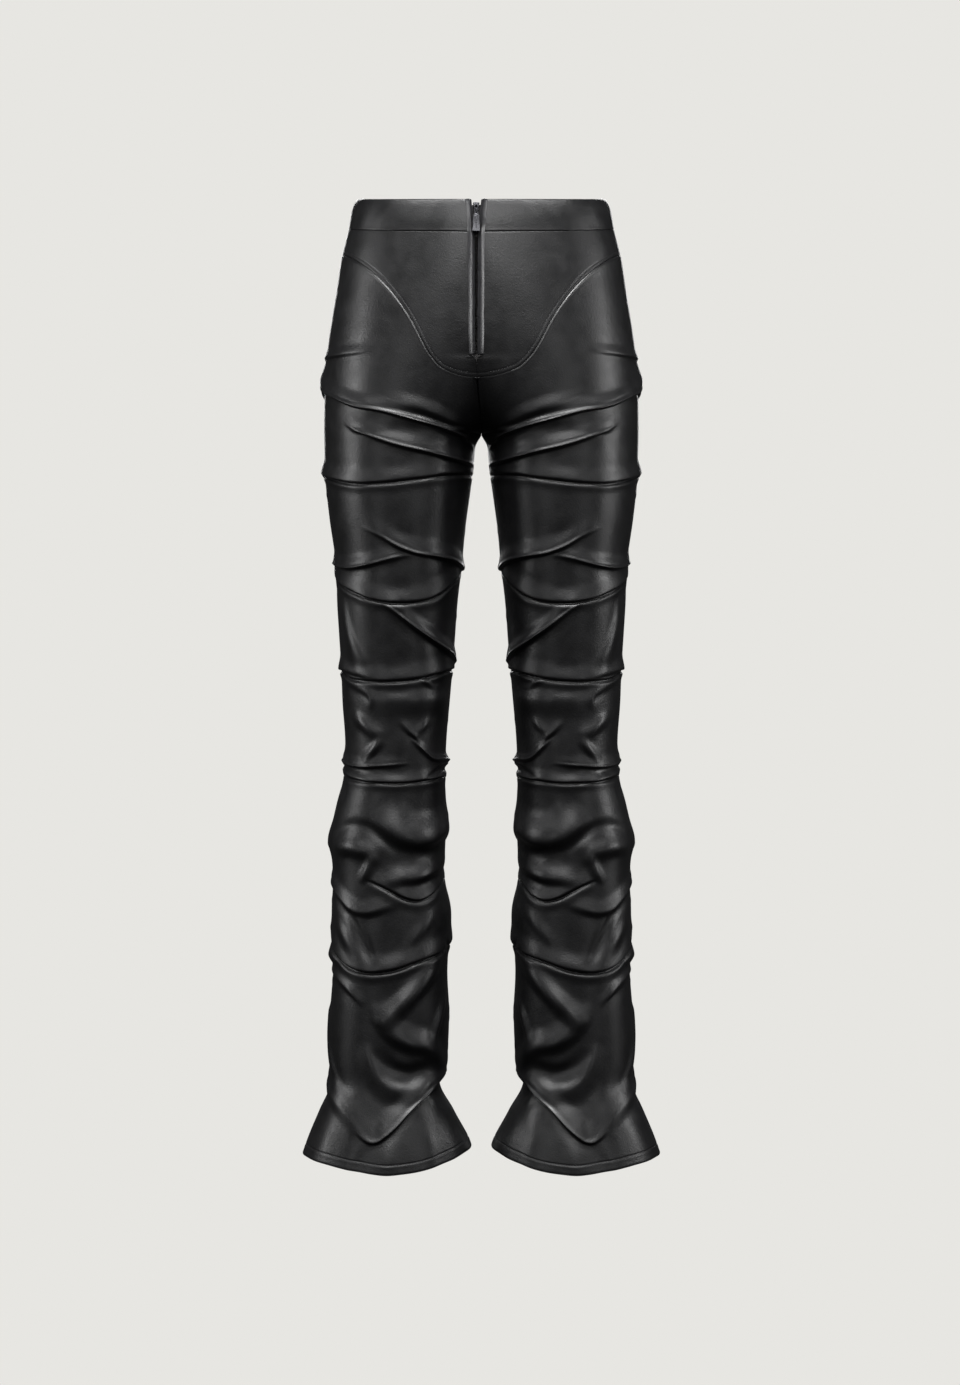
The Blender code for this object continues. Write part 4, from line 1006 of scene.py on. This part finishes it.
bandSizes = {
    "columns": 80,
    "rows": 40,
    "thickness": 3.0,
    "hollow": 0.78,
    "seamRoll": 0.1,
    "seamDip": 0.5,
    "uneven": 0.12,
    "leanFrom": 8.5,
    "roundFrom": 1.5,
    "flat": (0.37, 0.04),
    "area": 0.0135,
}


def bandWall(mirrored):
    # one half of the band, from the fly round the side to the centre back, as one strip
    columns = np.linspace(0, 1, bandSizes["columns"] + 1)
    outside, inside = [], []
    for face in ("front", "back"):
        upper, lower = line(f"{face}Waist")(columns), line(f"{face}BandSeam")(columns)
        drops = rowDrops(upper, lower, bandSizes["rows"], ((upper, 1.4, 12), (lower, 2.5, 5)))
        across = np.broadcast_to(columns, drops.shape)
        fromTop, toSeam = drops - upper, lower - drops
        share = fromTop / (lower - upper)
        height = bandSizes["hollow"] * np.sin(math.pi * share)
        height += (bandSizes["seamRoll"] * bumpAt(toSeam, 2.0, 1.3)
                   - bandSizes["seamDip"] * bumpAt(toSeam, 0, 0.7))
        height += bandSizes["uneven"] * np.sin(across * 41 + drops / 7)
        # the fold leans in towards the top, most of all at the side, and its edge is round
        lean = np.clip(1 - fromTop / bandSizes["leanFrom"], 0, 1)
        height -= (1 - np.sqrt(1 - 0.97 * lean * lean)) * (1 + 5 * bumpAt(across, 0, 0.22))
        rounded = np.clip(1 - fromTop / bandSizes["roundFrom"], 0, 1)
        sunk = 1.45 * (1 - np.sqrt(1 - rounded * rounded))
        shift = centreShift(drops, mirrored) if face == "front" else 0
        points = coverPoints(face, across, drops, height, shift)
        normals = gridNormals(coverPoints(face, across, drops, 0, shift), face)
        outer = points - normals * sunk[..., None]
        inner = points - normals * (bandSizes["thickness"] - sunk)[..., None]
        for walls, wall in ((outside, outer), (inside, inner)):
            wall[..., 0] = np.minimum(wall[..., 0], -cut["seamGap"] / 2 + shift)
            walls.append(wall if face == "back" else wall[:, :0:-1])
    return (np.concatenate(walls, axis=1) for walls in (outside, inside))


for side, mirrored in sides:
    outside, inside = bandWall(mirrored)
    band = leatherWall(f"waistband{side}", outside, inside, mirrored, 2)
    sheetOf(band, f"waistband_{side.lower()}")
print("waistband built", outside.shape)


# The zip: two rounded strips, the tapes with their teeth, the slider and its pull

frontSlope = math.atan(5 / 34)  # how the fly leans back at the waistband


def frontPoint(x, drop, out):
    # a point in front of the fly, this far out from the leather beside its opening
    across = np.linspace(0.5, 1, 200)
    ringX, ringY = formPoint("front", across, np.full(across.shape, float(drop)))
    fromOpening = max(0.0, abs(x - cut["flyX"]) - cut["flyOpening"] / 2)
    return Vector((x, np.interp(-fromOpening, ringX, ringY) - out, -drop)) * mm


def onSlope(drop, out, tilt):
    # the place and lean of a piece that hangs in front of the fly
    lean = Matrix.Rotation(-(frontSlope + tilt), 4, "X")
    return Matrix.Translation(frontPoint(cut["flyX"], drop, out)) @ lean


def sweep(bm, sections, closed=False):
    # bridges rings of points into a bar, or into a ring where closed
    loops = []
    for points in sections:
        verts = [bm.verts.new(point) for point in points]
        loops.append([bm.edges.new((verts[i - 1], verts[i])) for i in range(len(verts))])
    for i in range(0 if closed else 1, len(loops)):
        bmesh.ops.bridge_loops(bm, edges=loops[i - 1] + loops[i])
    if not closed:
        bmesh.ops.holes_fill(bm, edges=loops[0] + loops[-1], sides=0)


strip = {
    "width": 6.9,
    "height": 4.2,
    "lift": 0.45,
    "top": 9.4,
    "foot": 176.0,
    "sides": 18,
    "rows": 76,
    "gap": 1.9,
    "gapMore": 0.5,  # wider by this much at the slider
    "gapLess": 0.8,  # and narrower by this much at the foot
    "spread": ((10, 25, 36, 48), (2.8, 1.6, 0.8, 0)),  # how far it gives way to the slider, by drop
    "peaks": {"Right": 0.12, "Left": 0.0},
    "kinks": {"Right": (0.4, 42, 3), "Left": (1, 35, 4)},  # size, drop and length
}


def zipStrip(name, side):
    # a narrow strip of leather folded to a soft double crown, spreading at the slider
    top, foot = strip["top"], strip["foot"]
    drops = np.concatenate([
        [top, top + 0.35, top + 1],
        np.linspace(top + 2.2, foot - 2, strip["rows"]),
        [foot - 0.8, foot - 0.3, foot],
    ])
    last = len(drops) - 1
    shares = np.interp(np.arange(last + 1), (0, 1, 2, last - 2, last - 1, last),
                       (0.55, 0.85, 1, 1, 0.85, 0.6))
    turns = np.linspace(-0.5, 0.5, strip["sides"] - 3)
    peak = strip["peaks"][name]
    fallen = np.where(turns < peak, (peak - turns) / (peak + 0.5), (turns - peak) / (0.5 - peak))
    crown = 1 - (np.sqrt(fallen**2 + 0.004) - 0.063) ** 0.75
    kinkSize, kinkDrop, kinkWidth = strip["kinks"][name]
    bm = bmesh.new()
    sections = []
    for drop, share in zip(drops, shares):
        opened = float(smooth(*strip["spread"], drop))
        kink = kinkSize * bumpAt(drop, kinkDrop, kinkWidth)
        wave = 0.12 * math.sin(drop / 8 + side) + 0.08 * math.sin(drop / 3.7)
        gap = strip["gap"] + strip["gapMore"] * opened / 2.8 - strip["gapLess"] * max(drop - 60, 0) / 116
        centre = cut["flyX"] + side * (gap + strip["width"] / 2 + opened + 0.5 * kink) + wave
        high = strip["height"] * (1 + 0.3 * kink) * (0.5 + 0.5 * share)
        wide = strip["width"] * share
        points = [frontPoint(centre + wide * u, drop, strip["lift"] + high * v)
                  for u, v in zip(turns, crown)]
        points += [frontPoint(centre + wide * u, drop, strip["lift"]) for u in (0.25, -0.25)]
        sections.append(points)
    sweep(bm, sections)
    # the strips wear the nappa painted lighter as sheen
    piece = finishPiece(f"zipStrip{name}", bm, paintedSheenFold, sharp=80)
    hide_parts(f"placket_{name.lower()}")
    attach(piece, "trousers")


for name, mirrored in sides:
    zipStrip(name, 1 if mirrored else -1)
print("zip strips built")

chain = {
    "pitch": 2.0,
    "top": 27.5,
    "foot": 174.5,
    "bandFoot": 48,
    "clearance": 0.75,
    "tape": 13.0,
    "tapeThick": 0.9,
    "beadRadius": 0.55,
    "tooth": (2.05, 1.9, 1.25),
    "toothOut": 0.5,
    "toothTip": 0.62,
    "overlap": 0.95,
    "bevel": 0.22,
    "flat": (0.0135, 0.15),
}


def tapeDepth(drop):
    # how far behind the outer face the tape's front lies
    wall = bandSizes if drop < chain["bandFoot"] else yokeSizes
    return wall["thickness"] + chain["clearance"]


def zipTape(name, side):
    # one tape with a bead along its inner edge, and its row of teeth, half a pitch off the other row
    bm = bmesh.new()
    sections = []
    width, thick, bead = chain["tape"], chain["tapeThick"], chain["beadRadius"]
    top, bandFoot = chain["top"], chain["bandFoot"]
    for drop in [top - 1.9, *np.linspace(top, bandFoot - 2, 8), *np.linspace(bandFoot + 1, 175, 40)]:
        back = tapeDepth(drop)
        shape = ((0.2, back + thick), (0.2, back - bead * 0.4), (0.6, back - bead), (1.3, back - bead),
                 (1.9, back), (width - 0.3, back), (width, back + thick * 0.5),
                 (width - 0.3, back + thick), (6, back + thick))
        sections.append([frontPoint(cut["flyX"] + side * u, drop, -v) for u, v in shape])
    sweep(bm, sections)
    tape = finishPiece(f"zipTape{name}", bm, tapeCloth, sharp=50)

    bm = bmesh.new()
    size = Matrix.Diagonal([v * mm for v in chain["tooth"]] + [1])
    for k in range(int((chain["foot"] - top) / chain["pitch"])):
        drop = top + chain["pitch"] * (k + (0.5 if side > 0 else 0.0))
        out = chain["clearance"] + chain["toothOut"] - tapeDepth(drop)
        place = onSlope(drop, out, 0 if drop < 60 else -frontSlope)
        place = Matrix.Translation((side * chain["overlap"] * mm, 0, 0)) @ place
        tooth = bmesh.ops.create_cube(bm, size=1, matrix=place @ size)["verts"]
        tip = [v for v in tooth if (v.co.x - cut["flyX"] * mm) * side < chain["overlap"] * mm]
        bmesh.ops.scale(bm, verts=tip, vec=(1, 1, chain["toothTip"]),
                        space=Matrix.Translation(-place.translation))
        edges = list({edge for vert in tooth for edge in vert.link_edges})
        bmesh.ops.bevel(bm, geom=edges, offset=chain["bevel"] * mm, segments=1, profile=0.5,
                        affect="EDGES", material=-1)
    # the teeth wear the colour painted dark as shade
    teeth = finishPiece(f"zipTeeth{name}", bm, shadeDarkTeeth, sharp=40)
    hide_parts(f"zip_tape_{name.lower()}")
    for piece, slot in ((tape, "zip_tape"), (teeth, "zip_metal")):
        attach(piece, "trousers")


for name, mirrored in sides:
    zipTape(name, 1 if mirrored else -1)
print("zip tapes and teeth built")

tack = {
    "drop": 177.8,
    "left": -17.0,
    "right": -2.0,
    "lift": 0.85,
    "count": 26,
    "length": 2.0,
    "width": 0.62,
    "height": 0.9,
    "slant": 12,
}


def barTack():
    # a bar of close stitches across the foot of the zip strips
    bm = bmesh.new()
    sized = Matrix.Diagonal([tack[key] / 2 * mm for key in ("width", "height", "length")] + [1])
    for k in range(tack["count"]):
        x = tack["left"] + (tack["right"] - tack["left"]) * (k + 0.5) / tack["count"]
        drop = tack["drop"] + 0.25 * math.sin(k * 2.1)
        place = Matrix.Translation(frontPoint(x, drop, tack["lift"]))
        slant = math.radians(tack["slant"] if k % 2 else -tack["slant"])
        place = place @ Matrix.Rotation(slant, 4, "Y")
        bmesh.ops.create_icosphere(bm, subdivisions=1, radius=1, matrix=place @ sized)
    piece = finishPiece("zipBarTack", bm, thread)
    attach(piece, "trousers")


barTack()

allowance = {"zipFoot": 186, "bandFoot": 36, "sections": (50, 120), "inset": 1.75, "reach": 7,
             "thick": 1.1}


def seatAllowance():
    # the centre seam's turned edges inside, from the zip's foot under the crotch to the waistband
    fronts = np.linspace(allowance["zipFoot"], cut["crotchDrop"], allowance["sections"][0])
    backs = np.linspace(cut["crotchDrop"], allowance["bandFoot"], allowance["sections"][1])[1:]
    middle = np.concatenate([centreShift(fronts, False), 0 * backs])
    depths = np.concatenate([formPoint(face, np.ones(drops.shape), drops)[1]
                             for face, drops in (("front", fronts), ("back", backs))])
    heights = -np.concatenate([fronts, backs])
    run = np.stack([depths, heights], axis=-1)
    tangents = np.gradient(run, axis=0)
    tangents /= np.linalg.norm(tangents, axis=1, keepdims=True)
    half, thick = allowance["reach"], allowance["thick"]
    shape = ((-half, 0.25), (1 - half, 0), (0, 0), (half - 1, 0), (half, 0.25), (half - 0.4, thick - 0.2),
             (0, thick), (0.4 - half, thick - 0.2))
    bm = bmesh.new()
    sections = []
    for k in range(len(run)):
        inward = Vector((0, -tangents[k, 1], tangents[k, 0]))
        base = Vector((middle[k], depths[k], heights[k])) + inward * allowance["inset"]
        sections.append([(base + Vector((u, 0, 0)) + inward * v) * mm for u, v in shape])
    sweep(bm, sections)
    piece = finishPiece("seatSeamAllowance", bm, suede)
    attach(piece, "trousers")


seatAllowance()

puller = {
    "topDrop": 13.0,
    "length": 12.0,
    "width": 7.0,
    "front": 1.2,
    "back": 3.0,
    "edge": 1.1,
    "pinDrop": 16.0,
    "pinOut": 3.2,
    "pinRadius": 0.75,
    "bailRadius": 1.65,
    "bailWire": (0.55, 0.7),  # half its height and half its width
    "bailSunk": 0.9,
    "tilt": 6.0,
    "loopHalf": 2.5,
    "loopLength": 12.0,
    "loopWire": (0.82, 0.75),  # half its width and half its depth
    "pullLength": 30.0,
    "shoulderHalf": 3.3,
    "endHalf": 4.4,
    "tabThick": 1.4,
    "tabEdge": 0.45,
    "ribRadius": 0.55,
}


def ringOf(centre, away, beside, radiusAway, radiusBeside, sides=12):
    # one elliptical ring of points round a path
    turns = [2 * math.pi * k / sides for k in range(sides)]
    return [centre + away * (radiusAway * math.cos(t)) + beside * (radiusBeside * math.sin(t))
            for t in turns]


def zipSlider():
    # a rounded block that narrows to its foot, with its bail
    bm = bmesh.new()
    thickness = puller["front"] + puller["back"]
    middle = puller["topDrop"] + puller["length"] / 2
    place = onSlope(middle, puller["front"] - thickness / 2, 0)
    size = Matrix.Diagonal((puller["width"] * mm, thickness * mm, puller["length"] * mm, 1))
    body = bmesh.ops.create_cube(bm, size=1, matrix=size)["verts"]
    foot = [vert for vert in body if vert.co.z < 0]
    bmesh.ops.scale(bm, verts=foot, vec=(0.8, 0.85, 1))
    bmesh.ops.bevel(bm, geom=bm.edges[:], offset=puller["edge"] * mm, segments=4, profile=0.5,
                    affect="EDGES", material=-1)
    bmesh.ops.transform(bm, verts=bm.verts, matrix=place)
    # the bail: an arch of rounded wire that the pull hangs on
    place = onSlope(puller["pinDrop"], puller["pinOut"], 0)
    radius = puller["bailRadius"]
    feet = puller["front"] - puller["bailSunk"] - puller["pinOut"]
    turns = np.radians(np.arange(0, 181, 15))
    arch = [(-radius * math.cos(t), radius * math.sin(t), math.pi - t) for t in turns]
    sections = []
    for along, out, angle in [(-radius, feet, math.pi), *arch, (radius, feet, 0.0)]:
        away = Vector((0, -math.sin(angle), -math.cos(angle)))
        ring = ringOf(Vector((0, -out, -along)), away, Vector((1, 0, 0)), *puller["bailWire"])
        sections.append([place @ (point * mm) for point in ring])
    sweep(bm, sections)
    piece = finishPiece("zipSlider", bm, gunmetal, sharp=60)
    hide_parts("slider")
    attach(piece, "trousers")


def zipPull():
    bm = bmesh.new()
    low = -puller["loopLength"]
    # the loop: rounded wire bent to a long oval
    bend = puller["loopHalf"] - puller["loopWire"][0]
    upper, lower = puller["pinRadius"] - puller["loopHalf"], low + 1.2
    straight = np.linspace(0, 1, 7)[1:-1]
    turns = np.radians(np.linspace(0, 180, 13))
    oval = [(bend * math.cos(t), upper + bend * math.sin(t)) for t in turns]
    oval += [(-bend, upper * (1 - u) + lower * u) for u in straight]
    oval += [(bend * math.cos(t), lower + bend * math.sin(t)) for t in turns + math.pi]
    oval += [(bend, lower * (1 - u) + upper * u) for u in straight]
    sections = []
    for k, (x, z) in enumerate(oval):
        ahead, behind = oval[(k + 1) % len(oval)], oval[k - 1]
        along = Vector((ahead[0] - behind[0], 0, ahead[1] - behind[1])).normalized()
        away = Vector((along.z, 0, -along.x))
        sections.append(ringOf(Vector((x, 0, z)), away, Vector((0, 1, 0)), *puller["loopWire"], 10))
    sweep(bm, sections, closed=True)
    # the tab: a plate that widens to its square end, with eased edges
    shoulder, end, foot = puller["shoulderHalf"], puller["endHalf"], -puller["pullLength"]
    right = [(0.6, low + 2.6), (2.0, low + 1.5), (shoulder, low - 0.4), (shoulder + 0.1, low - 1.6),
             (end, foot + 1.4), (end - 0.25, foot + 0.4), (end - 1.2, foot)]
    outline = right + [(-x, z) for x, z in reversed(right)]
    plate = bm.faces.new([bm.verts.new((x, -puller["tabThick"] / 2, z)) for x, z in outline])
    grown = bmesh.ops.extrude_face_region(bm, geom=[plate], use_keep_orig=True)
    moved = [item for item in grown["geom"] if isinstance(item, bmesh.types.BMVert)]
    bmesh.ops.translate(bm, verts=moved, vec=(0, puller["tabThick"], 0))
    corners = set(moved) | set(plate.verts)
    rims = [edge for edge in bm.edges if all(vert in corners for vert in edge.verts)
            and abs(edge.verts[0].co.y - edge.verts[1].co.y) < 1e-5]
    bmesh.ops.bevel(bm, geom=rims, offset=puller["tabEdge"], segments=3, profile=0.5, affect="EDGES",
                    material=-1)
    # the rib down the middle of the tab, widest towards the end
    sections = []
    for share in np.linspace(0, 1, 12):
        z = (low - 1) * (1 - share) + (foot + 3) * share
        full = 0.25 + 0.75 * math.sin(math.pi * share) ** 0.35
        wide = puller["ribRadius"] * full * (0.8 + 0.5 * share)
        sections.append(ringOf(Vector((0, -0.62, z)), Vector((1, 0, 0)), Vector((0, 1, 0)), wide, 0.5 * full))
    sweep(bm, sections)
    bmesh.ops.scale(bm, verts=bm.verts, vec=(mm, mm, mm))
    place = onSlope(puller["pinDrop"], puller["pinOut"], math.radians(puller["tilt"]))
    bmesh.ops.transform(bm, verts=bm.verts, matrix=place)
    piece = finishPiece("zipPull", bm, gunmetal, sharp=50)
    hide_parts("pull_tab")
    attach(piece, "pull")


zipSlider()
zipPull()
print("slider and pull built")
